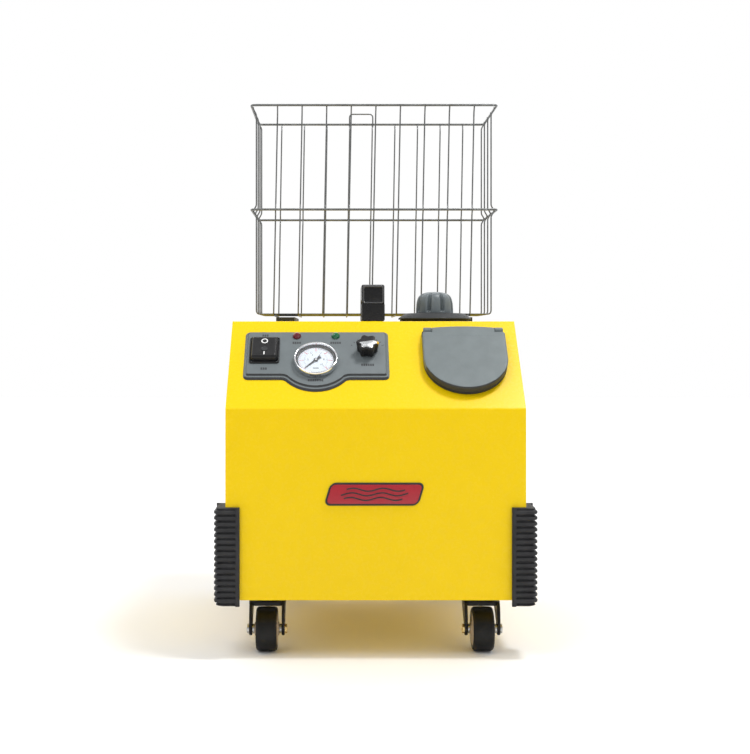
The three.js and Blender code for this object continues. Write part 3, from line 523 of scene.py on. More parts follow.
def rear_screws():
    low, high = node_mm("rear_cover")
    margin = 9
    for row, z in enumerate((low.z + margin, (low.z + high.z) / 2, high.z - margin)):
        for column, x in enumerate((low.x + margin, high.x - margin)):
            rear_screw(x, z, 0.4 + row * 0.9 + column * 0.5)


def housing():
    for node in ("front_cover", "side_panel_left", "side_panel_right", "rear_cover"):
        dress(node, YELLOW, 0.35)
    dress("base_tray", YELLOW, 0.3)
    dress("cord_gland", BLACK, 0.4)


def bumper_plan(proud, side, end):
    """A corner bumper in plan. Proud is 0 in a valley between ribs and 1 on a rib's crest."""
    low, high = node_mm("bumper_front_right")
    side_depth, face_depth = 3.6, 2.6
    corner, chamfer, border, clearance = 7, 0.8, 4, 0.3
    outer = high.x - side_depth * (1 - proud)
    face = -low.y - face_depth * (1 - proud)
    front, strip, back = -low.y, low.x, -high.y
    inner_x = HALF_WIDTH + clearance
    inner_y = HALF_DEPTH + clearance
    outline = [(strip, inner_y), (strip, front - chamfer), (strip + chamfer, front)]
    outline += [(strip + border + 0.2, front), (strip + border + 1, face)]
    outline += arc(outer - corner, face - corner, corner, 0.25, 0, 8)
    outline += [(outer, back + border + chamfer), (high.x, back + border)]
    outline += [(high.x, back + chamfer), (high.x - chamfer, back), (inner_x, back), (inner_x, inner_y)]
    return [(side * x, end * y) for x, y in outline]


# One rib of a bumper, as shares of the pitch and how proud it stands there.
RIB_SHAPE = ((0.0, 0.0), (0.16, 0.05), (0.3, 0.8), (0.42, 1.0), (0.74, 1.0), (0.86, 0.8), (0.98, 0.05))


def corner_bumper(name, side, end):
    low, high = node_mm("bumper_front_right")
    ribs = 16
    edge = 2.6
    pitch = (high.z - low.z - 2 * edge) / ribs
    steps = [(low.z, -0.35), (low.z + 1, 0.4), (low.z + edge - 0.6, 0.4)]
    for rib in range(ribs):
        start = low.z + edge + rib * pitch
        for share, proud in RIB_SHAPE:
            steps.append((start + share * pitch, proud))
    steps += [(high.z - edge + 0.6, 0.4), (high.z - 1, 0.4), (high.z, -0.35)]
    rings = [[(x, y, z) for x, y in bumper_plan(proud, side, end)] for z, proud in steps]
    piece = add_piece(f"rubber_{name}", *bridge(rings), MM, RUBBER, sharp=50)
    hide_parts(name)


def badge():
    """A plain raised plate with wavy lines."""
    width, height, corner = 107, 26, 7
    mid_x, mid_z = -1.5, 187.5
    lean = 0.3
    border, plate_top, field_top = 2.2, 1.4, 2.1
    wave_rows, wave_length, wave_height, wave_reach = (-5.2, 0, 5.2), 34, 1.7, 38
    place = at(mid_x, FRONT, mid_z) @ STAND_UP

    def slanted(inset):
        outline = rounded_box(width - 2 * inset, height - 2 * inset, corner - inset)
        return [(x + lean * y, y) for x, y in outline]

    def inner(inset):
        return slanted(inset + border)

    back = add_piece("badge_back", *slab(slanted, 0.05, plate_top, 0.5), place, DARK)
    field = add_piece("badge_field", *slab(inner, plate_top - 0.1, field_top, 0.4), place, BADGE_RED)
    waves = []
    for row in wave_rows:
        reach = wave_reach - int(abs(row))
        path = [
            (x + lean * row, row + wave_height * sin(FULL * x / wave_length), field_top)
            for x in range(-reach, reach + 1, 2)
        ]
        waves.append(tube(path, 0.75, (0, 0, 1), 8))
    device = add_piece("badge_waves", *merge(*waves), place, DARK)


# ---- control panel

PANEL_TOP = 3.8
LAMP_SPREAD = 23
LAMP_V = 112
gauge_spot = slope_spot("gauge_reading")
knob_spot = slope_spot("steam_turn")
rocker_spot = slope_spot("power_rock")
lid_spot = slope_spot("lid_open")
GAUGE = gauge_spot.xy


def panel_outline(inset):
    """The panel from above: a box that swells round the gauge. Its lower edge steps in further."""
    left, right = -152.7 + inset, 17 - inset
    low, high = 44 + 1.6 * inset, 122 - inset
    corner = max(6 - inset, 1.5)
    bulge, hollow = 44.4 - inset, 8 + inset
    gx, gv = GAUGE[0], GAUGE[1] + 0.6 * inset
    centre = low - hollow
    half = math.sqrt((bulge + hollow) ** 2 - (gv - centre) ** 2)
    open_left = math.atan2(centre - gv, -half) / FULL
    open_right = math.atan2(centre - gv, half) / FULL
    outline = arc(gx - half, centre, hollow, 0.25, open_left + 0.5, 6)
    outline += arc(gx, gv, bulge, open_left, open_right, 28)
    outline += arc(gx + half, centre, hollow, open_right + 0.5, 0.25, 6)
    outline += arc(right - corner, low + corner, corner, -0.25, 0, 6)
    outline += arc(right - corner, high - corner, corner, 0, 0.25, 6)
    outline += arc(left + corner, high - corner, corner, 0.25, 0.5, 6)
    outline += arc(left + corner, low + corner, corner, 0.5, 0.75, 6)
    return outline


def paint_shade_on_down_walls(piece, material):
    """Paints shade on the walls that look down the slope: they get a second, darker material, painted shade
    standing in for the shade those walls get under light from above.
    """
    piece.data.materials.append(material)
    down_slope = (SLOPE_MM.to_3x3() @ Vector((0, -1, 0))).normalized()
    for face in piece.data.polygons:
        if face.normal.dot(down_slope) > 0.3:
            face.material_index = 1


def panel_moulding():
    steps = [(0.3, 0.3), (0, 0.5), (1.3, 1.9), (1.7, 2.2), (2.7, 2.2), (2.9, 1.9), (3.2, 2.0), (4.0, 3.3)]
    steps += round_edge(4.1, PANEL_TOP, 0.4)
    piece = add_piece("panel_moulding", *bridge(layers(panel_outline, steps)), on_slope(0, 0), GREY, sharp=60)
    # The panel's walls facing down the slope get painted shade.
    paint_shade_on_down_walls(piece, GREY_PAINTED_SHADE)
    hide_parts("control_panel")


def bar_mark(x, y, width, height, angle=0.0):
    lift = 0.05
    outline = box_outline(width, height, min(width, height) * 0.2)
    part = bridge(layers(outline, [(0, -lift), (0, lift)]))
    return shift(part, slide(x, y, 0) @ spin(angle, "Z"))


def panel_marks():
    """Small printed bars and ticks where a panel carries its legends."""
    parts = []
    reach, first, pitch = 20.5, 154, 16
    for index in range(9):
        angle = math.radians(first - index * pitch)
        x, v = polar(reach, angle)
        parts.append(bar_mark(knob_spot.x + x, knob_spot.y + v, 1.6 + index * 0.25, 0.9, angle))
    bar_pitch, bar_width, bar_height = 2.6, 2.0, 3.6
    for x, v, count in (
        (knob_spot.x, 65, 6),
        (GAUGE[0], 40.5, 7),
        (GAUGE[0] - LAMP_SPREAD, 101, 4),
        (GAUGE[0] + LAMP_SPREAD, 101, 5),
        (rocker_spot.x, 59, 3),
        (rocker_spot.x, 113.2, 3),
    ):
        for step in range(count):
            offset = (step - (count - 1) / 2) * bar_pitch
            parts.append(bar_mark(x + offset, v, bar_width, bar_height))
    piece = add_piece("panel_marks", *merge(*parts), on_slope(0, 0, PANEL_TOP), GREY_INK, sharp=80)


def gauge():
    place = on_slope(*GAUGE)
    bezel = lathe([
        (21.6, 4.1, 0), (25.4, 4.1, 0.3), (25.75, 5.0, 0.5), (25.75, 10.2, 1.4), (24.9, 11.75, 0.6),
        (23.9, 11.75, 0.5), (23.3, 10.6, 0.5), (23.2, 6.2, 0.2), (21.6, 6.2, 0.1),
    ], 96, True, 5)
    case = lathe([(0, -24, 0), (22.6, -24, 1), (22.6, 4.05, 0), (0, 4.05, 0)], 64)
    rim = add_piece("gauge_bezel", *bezel, place, CHROME, sharp=60)
    can = add_piece("gauge_can", *case, place, BLACK_PAINT)
    ring = [(20.7, 6.3, 0), (23.1, 6.3, 0), (23.1, 7.3, 0), (22.2, 7.5, 0.2), (20.7, 7.1, 0.2)]
    gasket = add_piece("gauge_seal", *lathe(ring, 96, True), place, BLACK_PAINT)
    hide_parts("gauge_case")

    face = lathe([(1.2, 5.3, 0), (21.1, 5.3, 0), (21.1, 6.1, 0.2), (1.2, 6.1, 0)], 96, True)
    card = add_piece("gauge_card", *face, place, DIAL)
    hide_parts("gauge_dial")

    glass = [(0, 10.0, 0), (22.9, 10.0, 0.2), (22.9, 10.8, 0.2), (0, 10.8, 0)]
    pane = add_piece("gauge_glass", *lathe(glass, 96), place, GLASS)
    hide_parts("gauge_lens")


def dial_angle(share):
    """The angle on the dial at a share of full scale, which runs clockwise."""
    return math.radians(225 - 270 * share)


def dial_ticks(count, long_every, inner, outer, width):
    parts = []
    for index in range(count + 1):
        angle = dial_angle(index / count)
        main = index % long_every == 0
        low = inner if main else inner + (outer - inner) * 0.45
        thickness = width if main else width * 0.6
        middle = polar((low + outer) / 2, angle)
        parts.append(bar_mark(*middle, outer - low, thickness, angle))
    return merge(*parts)


def numeral(text, size, angle, reach):
    """A number's flat skin, its middle at a reach from the dial's middle."""
    x, y = polar(reach, angle)
    curve = bpy.data.curves.new("numeral", "FONT")
    curve.body = text
    curve.size = size
    curve.extrude = 0.04
    curve.align_x = "CENTER"
    curve.align_y = "CENTER"
    writer = link_object("numeral", curve)
    depsgraph = bpy.context.evaluated_depsgraph_get()
    drawn = writer.evaluated_get(depsgraph).to_mesh()
    points = [(v.co.x + x, v.co.y + y, v.co.z) for v in drawn.vertices]
    faces = [list(p.vertices) for p in drawn.polygons]
    bpy.data.objects.remove(writer)
    return points, faces


def dial_print():
    place = on_slope(*GAUGE, 6.14)
    red = [dial_ticks(30, 5, 17.2, 19.8, 0.6)]
    black = [dial_ticks(25, 5, 12.0, 14.2, 0.55)]
    for index in range(6):
        black.append(numeral(str(index * 2), 3.6, dial_angle(index / 5), 9.4))
    for index in range(7):
        red.append(numeral(str(index * 20), 2.6, dial_angle(index / 6), 15.6))
    black.append(bar_mark(0, -12.4, 7, 1.1))
    for name, part, ink in (("dial_print_red", red, RED_INK), ("dial_print_black", black, INK)):
        piece = add_piece(name, *merge(*part), place, ink, sharp=80)


def gauge_needle():
    place = on_slope(*GAUGE) @ spin(dial_angle(0), "Z")

    def mirrored(half):
        return [(x, -y) for x, y in half] + list(reversed(half))

    def blade(inset):
        points = mirrored([(-3.6, 0.8), (0, 1.3), (10, 0.8), (17.4, 0.3)])
        return [(x * (1 - inset / 20), y * (1 - inset * 0.9)) for x, y in points]

    def paddle(inset):
        points = mirrored([(-2.4, 0.8), (-3.4, 1.0), (-6.0, 2.1), (-7.2, 1.7)])
        return [(x, y * (1 - inset * 0.5)) for x, y in points]

    parts = [
        bridge(layers(blade, [(0, 7.0), (0, 7.3), (0.3, 7.5)])),
        bridge(layers(paddle, [(0, 7.0), (0, 7.4), (0.2, 7.5)])),
        lathe([(0, 5.4, 0), (0.8, 5.4, 0), (0.8, 6.6, 0), (2.6, 6.6, 0), (2.6, 7.9, 0.4), (0, 8.1, 0)], 32),
    ]
    pointer = add_piece("needle_pointer", *merge(*parts), place, INK, "needle")
    boss = lathe([(0, 7.95, 0), (1.3, 7.95, 0), (1.3, 8.5, 0.3), (0, 8.6, 0)], 32)
    cap = add_piece("needle_boss", *boss, place, ZINC, "needle")
    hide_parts("gauge_needle")


def lamps():
    """Faceted jewels: every other ring is turned by half a facet."""
    facets = 14
    profile = [(0, -11), (4.1, -11), (4.1, 4.1), (5.0, 4.1), (5.0, 4.9)]
    profile += [(4.3, 6.2), (3.0, 7.6), (1.4, 8.5), (0, 8.7)]
    rings = []
    for index, (radius, z) in enumerate(profile):
        turned = spin(FULL / (2 * facets) * (index % 2), "Z")
        rings.append([turned @ Vector(point) for point in circle(radius, z, facets)])
    for jewel, side, material in (("red", -1, RED_LENS), ("green", 1, GREEN_LENS)):
        place = on_slope(GAUGE[0] + side * LAMP_SPREAD, LAMP_V)
        piece = add_piece(f"{jewel}_jewel", *bridge(rings), place, material, sharp=8)
        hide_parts(f"lamp_{jewel}")


def power_switch():
    low = PANEL_TOP + 0.3
    top, well_floor, can_floor = low + 1.5, low - 9, low - 26
    place = on_slope(*rocker_spot.xy)
    outline = box_outline(35.3, 42, 3)
    steps = [(0, low)] + round_edge(0, top, 0.7)
    steps += [(1.5, top), (1.7, top - 0.3), (1.7, well_floor), (1.1, well_floor), (1.1, low)]
    bezel = add_piece("switch_bezel", *bridge(layers(outline, steps), True), place, BLACK)
    can = slab(box_outline(32.4, 39.6, 2), can_floor, well_floor - 0.2, 0.4)
    floor = add_piece("switch_can", *can, place, BLACK)
    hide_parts("switch_frame")


ROCKER_TILT = math.radians(8)


def rocker_height(y):
    """The rocker's top: nearly flat, higher at the pressed end, with a soft valley."""
    return 7.9 + 0.075 * y - 0.7 * math.exp(-(y / 6) ** 2)


def rocker_place():
    return on_slope(*rocker_spot) @ spin(-ROCKER_TILT, "X")


# The boot's rounded shoulder and crowned top, as (inset, drop below the top's height).
BOOT_SHAPE = (
    (0.25, 3.4), (0.6, 2.0), (1.2, 1.0), (2.2, 0.3), (3.2, 0.0),
    (5, 0.02), (7.5, 0.05), (10, 0.08), (12.5, 0.1), (15, 0.1),
)


def rocker_boot():
    outline = box_outline(31.3, 36, 3.4)
    rings = layers(outline, [(0, -1.5), (0, 1.0)])
    for inset, drop in BOOT_SHAPE:
        rings.append([(x, y, rocker_height(y) - drop) for x, y in outline(inset)])
    piece = add_piece("rocker_boot", *bridge(rings), rocker_place(), BLACK, "power_rocker", sharp=60)
    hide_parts("rocker")


def rocker_marks():
    thickness = 0.1
    inner, outer = 2.6, 4.0
    rim = [(inner, -thickness, 0), (outer, -thickness, 0), (outer, 0.08, 0), (inner, 0.08, 0)]
    bar = layers(box_outline(1.4, 5.4, 0.4), [(0, -thickness), (0, thickness)])
    for name, y, part in (
        ("rocker_mark_ring", 8.8, lathe(rim, 48, True)),
        ("rocker_mark_bar", -12.2, bridge(bar)),
    ):
        lean = math.atan2(rocker_height(y + 1) - rocker_height(y - 1), 2)
        spot = slide(0, y, rocker_height(y))
        place = rocker_place() @ spot @ spin(lean, "X")
        piece = add_piece(name, *part, place, PALE_INK, "power_rocker")
    cup = [(0, -0.3, 0), (4.0, -0.3, 0), (4.0, 0.25, 0.2), (3.2, 0.3, 0.2), (2.4, -0.05, 0.2), (0, -0.1, 0)]
    middle = -4.6
    place = rocker_place() @ slide(0, middle, rocker_height(middle) + 0.25)
    piece = add_piece("rocker_dimple", *lathe(cup, 40), place, DARK, "power_rocker", sharp=50)


KNOB_TURN = math.radians(-6)


def lobed(mean, depth, inset, count=96):
    """A ring of six lobes, which flatten a little as it shrinks."""
    outline = []
    for step in range(count):
        angle = FULL * step / count
        radius = mean - inset + (depth - inset * 0.15) * cos(6 * angle)
        outline.append(polar(radius, angle))
    return outline


def steam_knob():
    place = on_slope(*knob_spot.xy) @ spin(KNOB_TURN, "Z")
    low, high = PANEL_TOP + 0.6, 18.7

    def grip(inset):
        return lobed(11.9, 1.45, inset)

    # The silver half-star on the knob's top is a painted reflection: it covers the lower half of the top
    # face, where the glossy top shows a reflection.
    def half_star(inset):
        return [(x, min(y, 1.2 - inset + 0.3 * x)) for x, y in lobed(9.4, 1.4, inset)]

    steps = [(1.6, low), (1.0, low + 0.5), (0.9, low + 4)] + round_edge(0, high, 2.2, 6)
    steps += [(3.4, high + 0.05), (6, high + 0.1)]
    piece = add_piece("knob_grip", *bridge(layers(grip, steps)), place, BLACK, "valve_knob", sharp=50)
    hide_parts("steam_knob")
    star = bridge(layers(half_star, [(0, high), (0.1, high + 0.35), (0.7, high + 0.6)]))
    reflection_piece = add_piece("knob_painted_reflection", *star, place, KNOB_REFLECTION_SILVER, "valve_knob", sharp=50)
    dot = lathe([(0, -1.4, 0), (1.9, -1.4, 0), (1.9, 0.4, 0.5), (1.0, 1.0, 0.4), (0, 1.1, 0)], 32)
    tip = place @ slide(11.6, 0, high - 0.3)
    spot = add_piece("knob_pointer", *dot, tip, POINTER, "valve_knob")
    dress("steam_valve", BRASS)


# ---- hose socket

SOCKET = (lid_spot.x, 70.5)
HINGE_V = lid_spot.y - SOCKET[1]
HINGE_H = lid_spot.z
SOCKET_R = 49
PIN_BORE = 1.8


def line(start, end, count):
    """Points between two points, neither of them included."""
    return [
        (start[0] + (end[0] - start[0]) * i / count, start[1] + (end[1] - start[1]) * i / count)
        for i in range(1, count)
    ]


def d_outline(radius, top, corner):
    """Round below, straight sides, and a top edge with round corners."""
    def outline(inset):
        r, t, c = radius - inset, top - inset, max(corner - inset, 0.5)
        points = arc(0, 0, r, 0.5, 1, 60)
        points += line((r, 0), (r, t - c), 14)
        points += arc(r - c, t - c, c, 0, 0.25, 8)
        points += line((r - c, t), (c - r, t), 28)
        points += arc(c - r, t - c, c, 0.25, 0.5, 8)
        points += line((-r, t - c), (-r, 0), 14)
        return points
    return outline


def ring_like(outline, radius, z):
    """A circle with its points in line with the outline's, seen from the middle."""
    ring = []
    for x, y in outline(0):
        reach = math.hypot(x, y)
        ring.append((x / reach * radius, y / reach * radius, z))
    return ring


def along_x(outline, steps):
    """Rings of a Y-Z outline at (inset, x) steps."""
    return bridge([[(x, a, b) for a, b in outline(inset)] for inset, x in steps])


def hinge_ear(side):
    inner, outer, foot = 37.3, 47.3, 3.0

    def profile(inset):
        r = 4.1 - inset
        return arc(HINGE_V, HINGE_H, r, -0.02, 0.52, 12) + [(HINGE_V - r, foot), (HINGE_V + r, foot)]

    steps = [(0.5, inner), (0, inner + 0.5), (0, outer - 1.0), (0.9, outer)]
    return along_x(profile, [(inset, side * x) for inset, x in steps])


def socket_base():
    """The plate with its cup, then room for the lid's tab and a pair of hinge ears."""
    place = on_slope(*SOCKET)
    outline = d_outline(SOCKET_R, 52.5, 6)
    floor, under = -26, -28
    cup = ((14.3, under), (14.3, floor), (27, floor), (28, floor + 1), (28, 3.2), (28.8, 4))
    rings = [ring_like(outline, radius, z) for radius, z in cup]
    rings += layers(outline, list(reversed(round_edge(0, 4, 1.0))) + [(0, 1.0), (0.3, 0.3)])
    rings += [ring_like(outline, 30, 0.3), ring_like(outline, 30, under)]
    piece = add_piece("socket_base", *bridge(rings, True), place, DARK)
    tab_half = 37.2
    tab_room = block(-tab_half, tab_half, HINGE_V - 8, 60, 1.2, 20)
    cut_away(piece, *tab_room, place)
    bore = lathe([(0, -60, 0), (PIN_BORE, -60, 0), (PIN_BORE, 60, 0), (0, 60, 0)], 32)
    bore = shift(turn_z_to_x(bore), slide(0, HINGE_V, HINGE_H))
    for name, side in (("left", -1), ("right", 1)):
        ear = add_piece(f"hinge_ear_{name}", *hinge_ear(side), place, LID_GREY)
        cut_away(ear, *bore, place)
    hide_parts("socket_housing")


LID_LOW = HINGE_H - 3.4
LID_TOP = LID_LOW + 7.7


def lid_tab():
    """The flat tab over the pin, and the barrel that turns on it."""
    half, arch = 36.9, 2.2
    low, top, start = HINGE_H + 2.2, LID_TOP + 0.03, HINGE_V - 12
    steps = 12
    rings = []
    for step in range(2 * steps + 1):
        x = half * (step / steps - 1)
        reach = HINGE_V + 4.4 - arch * (x / half) ** 2
        path = [(start, top, 0), (reach, top, 1.8), (reach, low, 0.5), (start, low, 0)]
        rings.append([(x, p.x, p.y) for p in fillet(path, False, 5)])
    tab = bridge(rings)
    barrel = lathe([(PIN_BORE, -half, 0), (3.4, -half, 0.3), (3.4, half, 0.3), (PIN_BORE, half, 0)], 32, True)
    return merge(tab, shift(turn_z_to_x(barrel), slide(0, HINGE_V, HINGE_H)))


def socket_lid():
    place = on_slope(*SOCKET)
    outline = d_outline(SOCKET_R, HINGE_V - 4.6, 3.5)
    low, top = LID_LOW, LID_TOP
    steps = [(2.6, top - 2.0), (2.0, top - 2.8), (1.8, low + 0.3), (1.5, low), (0.3, low), (0, low + 0.4)]
    steps += round_edge(0, top, 1.6, 6) + [(4, top), (20, top)]
    skins = merge(bridge(layers(outline, steps)), lid_tab())
    piece = add_piece("lid_shell", *skins, place, LID_GREY, "lid", sharp=40)
    # The lid's walls facing down the slope get painted shade.
    paint_shade_on_down_walls(piece, GREY_PAINTED_SHADE)
    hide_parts("socket_lid")


def hose_socket():
    socket_base()
    socket_lid()
    dress("steam_socket", BRASS, 0.3)
    dress("lid_pin", STEEL)


# ---- filler

filler_low, filler_high = node_mm("filler_collar")
FILLER = ((filler_low.x + filler_high.x) / 2, (filler_low.y + filler_high.y) / 2)
COLLAR_TOP = filler_high.z - DECK


def filler():
    place = at(*FILLER, DECK)
    collar = lathe([
        (16.4, 2.7, 0), (44.9, 2.7, 0.4), (45.4, 3.4, 0.4), (45.2, 4.4, 0.5), (36.6, COLLAR_TOP - 0.3, 1.6),
        (31, COLLAR_TOP, 0.8), (16.4, COLLAR_TOP, 0),
    ], 128, True)
    flange = add_piece("collar_flange", *collar, place, DARK)
    lip = [(24, 0.3, 0), (42.6, 0.3, 0.3), (43.4, 1.4, 0.6), (42.6, 2.6, 0.3), (24, 2.6, 0)]
    seal = add_piece("collar_gasket", *lathe(lip, 96, True), place, RUBBER)
    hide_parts("filler_collar")
    dress("filler_neck", STEEL)
    dress("cap_plug", BRASS, 0.3)


def flute_depth(angle, share):
    """How deep the cap is cut at an angle: eight grooves, each with a thin rib in it."""
    flutes = 8
    offset = angle / FULL * flutes % 1 - 0.5
    groove = math.exp(-(offset / 0.16) ** 6)
    rib = math.exp(-(offset / 0.04) ** 4)
    depth = 3.4 * min(1.0, (1 - share) * 2.4) * min(1.0, share * 8 + 0.4)
    return groove * depth - rib * depth * 0.6


def cap_grip():
    place = at(*FILLER, DECK)
    low, high = COLLAR_TOP + 0.35, 37.4
    bore, recess, sides = 18.4, 2.3, 192
    profile = fillet([
        (23.2, low, 0), (23.2, low + 4, 2), (22.4, low + 15, 5),
        (19.0, high - 3.6, 5), (10, high - 0.4, 5), (0, high, 0),
    ], False, 7)
    rings = [[(0, 0, low + recess)], circle(bore, low + recess, sides), circle(bore, low, sides)]
    for index, point in enumerate(profile[:-1]):
        share = index / (len(profile) - 1)
        ring = []
        for step in range(sides):
            angle = FULL * step / sides
            radius = point.x - flute_depth(angle, share) * min(1.0, point.x / 16)
            ring.append((*polar(radius, angle), point.y))
        rings.append(ring)
    rings.append([(0, 0, high)])
    piece = add_piece("cap_grip", *bridge(rings), place, CAP_GREY, "cap", sharp=70)
    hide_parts("cap_knob")


# ---- handle and basket

def carry_handle():
    """An arch along Y. Its near end steps in above the foot and carries a framed pad."""
    low, high = node_mm("carry_handle")
    near, far, leg, grip = low.y, high.y, 18, 18
    base, top = low.z, high.z
    half, edge = 14, 2.2
    foot_top, step_in, side_step, beyond = base + 20.5, 1.6, 1.1, 5

    def arch(inset):
        path = [
            (near + inset, base + inset, 0.5), (near + leg - inset, base + inset, 0.5),
            (near + leg - inset, top - grip + inset, 7), (far - leg + inset, top - grip + inset, 7),
            (far - leg + inset, base + inset, 0.5), (far - inset, base + inset, 0.5),
            (far - inset, top - inset, 12), (near + inset, top - inset, 9),
        ]
        return [(p.x, p.y) for p in fillet(path, True, 6)]

    steps = [(inset, -x) for inset, x in reversed(round_edge(0, half, edge))]
    steps += round_edge(0, half, edge)
    piece = add_piece("handle_grip", *along_x(arch, steps), MM, GLOSS_BLACK, sharp=50)
    outer, front, above = half + beyond, near - beyond, top + beyond
    cut_away(piece, *block(-outer, outer, front, near + step_in, foot_top, above), MM)
    for side in (-1, 1):
        shoulder = block(side * (half - side_step), side * outer, front, near + 12, foot_top, above)
        cut_away(piece, *shoulder, MM)

    pad_low, pad_high = foot_top + 0.8, top - 1.8
    place = at(0, near + step_in, (pad_low + pad_high) / 2) @ STAND_UP
    outline = box_outline(25.6, pad_high - pad_low, 3.2)
    rim_steps = [(0.6, -0.5), (0, -0.2), (0, 0.8), (0.5, 1.3), (1.4, 1.3), (2.0, 0.7), (2.2, -0.5)]
    pad_steps = [(2.1, -0.4), (2.1, 0.15), (2.4, 0.3)]
    # The rim's lighter plastic is a painted highlight for the glints along its edges.
    rim = add_piece("handle_rim", *bridge(layers(outline, rim_steps), True), place, RIM_PAINTED_GLINT, sharp=50)
    pad = add_piece("handle_pad", *bridge(layers(outline, pad_steps)), place, BLACK, sharp=50)
    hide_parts("carry_handle")


front_low, front_high = node_mm("basket_front")
back_low, back_high = node_mm("basket_back")
BASKET_X = (front_low.x + front_high.x) / 2
RIM_Z = front_high.z - 1.5
BAND_DROP = 135
BAND_Z = RIM_Z - BAND_DROP
FLOOR_Z = front_low.z + 1.1
NEAR_Y = (front_low.y + front_high.y) / 2
FAR_Y = (back_low.y + back_high.y) / 2
RIM_R, WIRE_R = 1.5, 0.95
HALF_RIM = 159
WIRE_INSET = 5.5
PITCH = 31.85


def hoop(z):
    """A rim or band: a rectangle with round corners."""
    x, corner = HALF_RIM, 7
    path = [
        (BASKET_X - x, NEAR_Y, z, corner), (BASKET_X + x, NEAR_Y, z, corner),
        (BASKET_X + x, FAR_Y, z, corner), (BASKET_X - x, FAR_Y, z, corner),
    ]
    return tube(fillet(path, True, 6), RIM_R, (0, 0, 1), 14, True)


def wire_leg(flat, outward):
    """One leg of a wire, from its rim down to the floor, as (across, height) points with fillets.

    flat is where the leg stands, and outward is the way to the rim.
    """
    reach = WIRE_INSET - RIM_R - WIRE_R + 1.0
    kink = 7
    return [
        (flat + outward * reach, RIM_Z + 0.6, 0),
        (flat + outward * reach, RIM_Z - 1.5, 1.2),
        (flat, RIM_Z - 9, 2.5),
        (flat, BAND_Z + kink, 2),
        (flat + outward * reach, BAND_Z, 2),
        (flat, BAND_Z - kink, 2),
        (flat, FLOOR_Z, 5),
    ]


def long_wire(index):
    """A wire down the front, under the floor and up the back."""
    step = (index - 4) * PITCH
    front_x, low_x, back_x = 6.4 + step, 1.1 + step, 5.6 + step
    front = wire_leg(NEAR_Y + WIRE_INSET, -1)
    back = reversed(wire_leg(FAR_Y - WIRE_INSET, 1))
    path = []
    for leg, rim_x in ((front, front_x), (back, back_x)):
        for y, z, size in leg:
            x = low_x + (rim_x - low_x) * (z - FLOOR_Z) / (RIM_Z - FLOOR_Z)
            path.append((x, y, z, size))
    return fillet(path, False, 4)


def cross_wire(index):
    """A wire down the left side, over the floor wires and up the right side."""
    y = NEAR_Y + (index + 0.5) * (FAR_Y - NEAR_Y) / 4
    leg = wire_leg(WIRE_INSET, -1)
    over = FLOOR_Z + 2 * WIRE_R
    path = []
    for side, half in ((-1, leg), (1, reversed(leg))):
        for across, z, size in half:
            path.append((BASKET_X + side * (HALF_RIM - across), y, max(z, over), size))
    return fillet(path, False, 4)


def back_loop():
    """The two middle back wires rise above the rim and join."""
    left, right = -26.5, 6.2
    y = FAR_Y - WIRE_R - RIM_R
    low, top = RIM_Z - 4, back_high.z - WIRE_R
    return fillet([(left, y, low, 0), (left, y, top, 5), (right, y, top, 5), (right, y, low, 0)], False, 6)


def basket():
    parts = [hoop(RIM_Z), hoop(BAND_Z)]
    for index in range(9):
        parts.append(tube(long_wire(index), WIRE_R, (1, 0, 0)))
    for index in range(4):
        parts.append(tube(cross_wire(index), WIRE_R, (0, 1, 0)))
    parts.append(tube(back_loop(), WIRE_R, (0, 1, 0)))
    piece = add_piece("basket_wires", *merge(*parts), MM, WIRE, sharp=60)
    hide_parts("basket_front", "basket_back", "basket_left", "basket_right", "basket_bottom")
    for node in ("basket_rail_left", "basket_rail_right"):
        dress(node, DARK, 1.0)


# ---- casters

AXLE_LEAD = 20
AXLE_Z = 25.5
FORK_TOP = 57.0


def fork_leg(side, lead):
    """One cheek of a fork. Lead is the way that the wheel trails."""
    inner, outer, edge = 17.2, 20.6, 0.6

    def profile(inset):
        path = [(-15, FORK_TOP, 3), (20, FORK_TOP, 5), (25, 48, 8)]
        path += [(27.3, AXLE_Z, 2), (26, AXLE_Z - 6, 5), (AXLE_LEAD, AXLE_Z - 8, 5)]
        path += [(13, AXLE_Z - 5, 4), (10.5, AXLE_Z + 4, 6), (-12, 47, 8)]
        middle = Vector((lead * 12, 40))
        points = fillet([(lead * y, z, size) for y, z, size in path], True, 4)
        return [tuple(p + (middle - p).normalized() * inset) for p in points]

    steps = [(0.5, inner), (0, inner + edge), (0, outer - edge), (0.6, outer)]
    return along_x(profile, [(inset, side * x) for inset, x in steps])


def fork(corner, lead, place, body):
    crown = slab(box_outline(43, 37, 9), FORK_TOP - 5.4, FORK_TOP, 1.6, 1.2)
    crown = shift(crown, slide(0, lead * 2, 0))
    skins = merge(crown, fork_leg(-1, lead), fork_leg(1, lead))
    sheet = add_piece(f"fork_{corner}_sheet", *skins, place, BLACK_PAINT, body, 45)
    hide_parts(f"caster_fork_{corner}")


def both_ways(half):
    """A profile from its far end to its near end, the same on both sides of the middle."""
    return [(radius, -z, size) for radius, z, size in half] + list(reversed(half))


def wheel(corner, place, body):
    tread = both_ways([(16, 11.8, 0), (23.2, 12.3, 1.2), (25.1, 10.2, 1.4)])
    crown = (25.5, 0, 4)
    tread.insert(len(tread) // 2, crown)
    tyre = add_piece(f"tread_{corner}", *turn_z_to_x(lathe(tread, 96, True)), place, TREAD, body, 50)
    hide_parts(f"caster_wheel_{corner}")
    core = both_ways([
        (3.3, 14.4, 0), (7, 14.4, 0.6), (8.2, 13, 0.8), (18.5, 12.4, 0.8), (19.5, 11.4, 0.4), (15.9, 11, 0),
    ])
    boss = add_piece(f"hub_{corner}", *turn_z_to_x(lathe(core, 64, True)), place, HUB, body, 40)


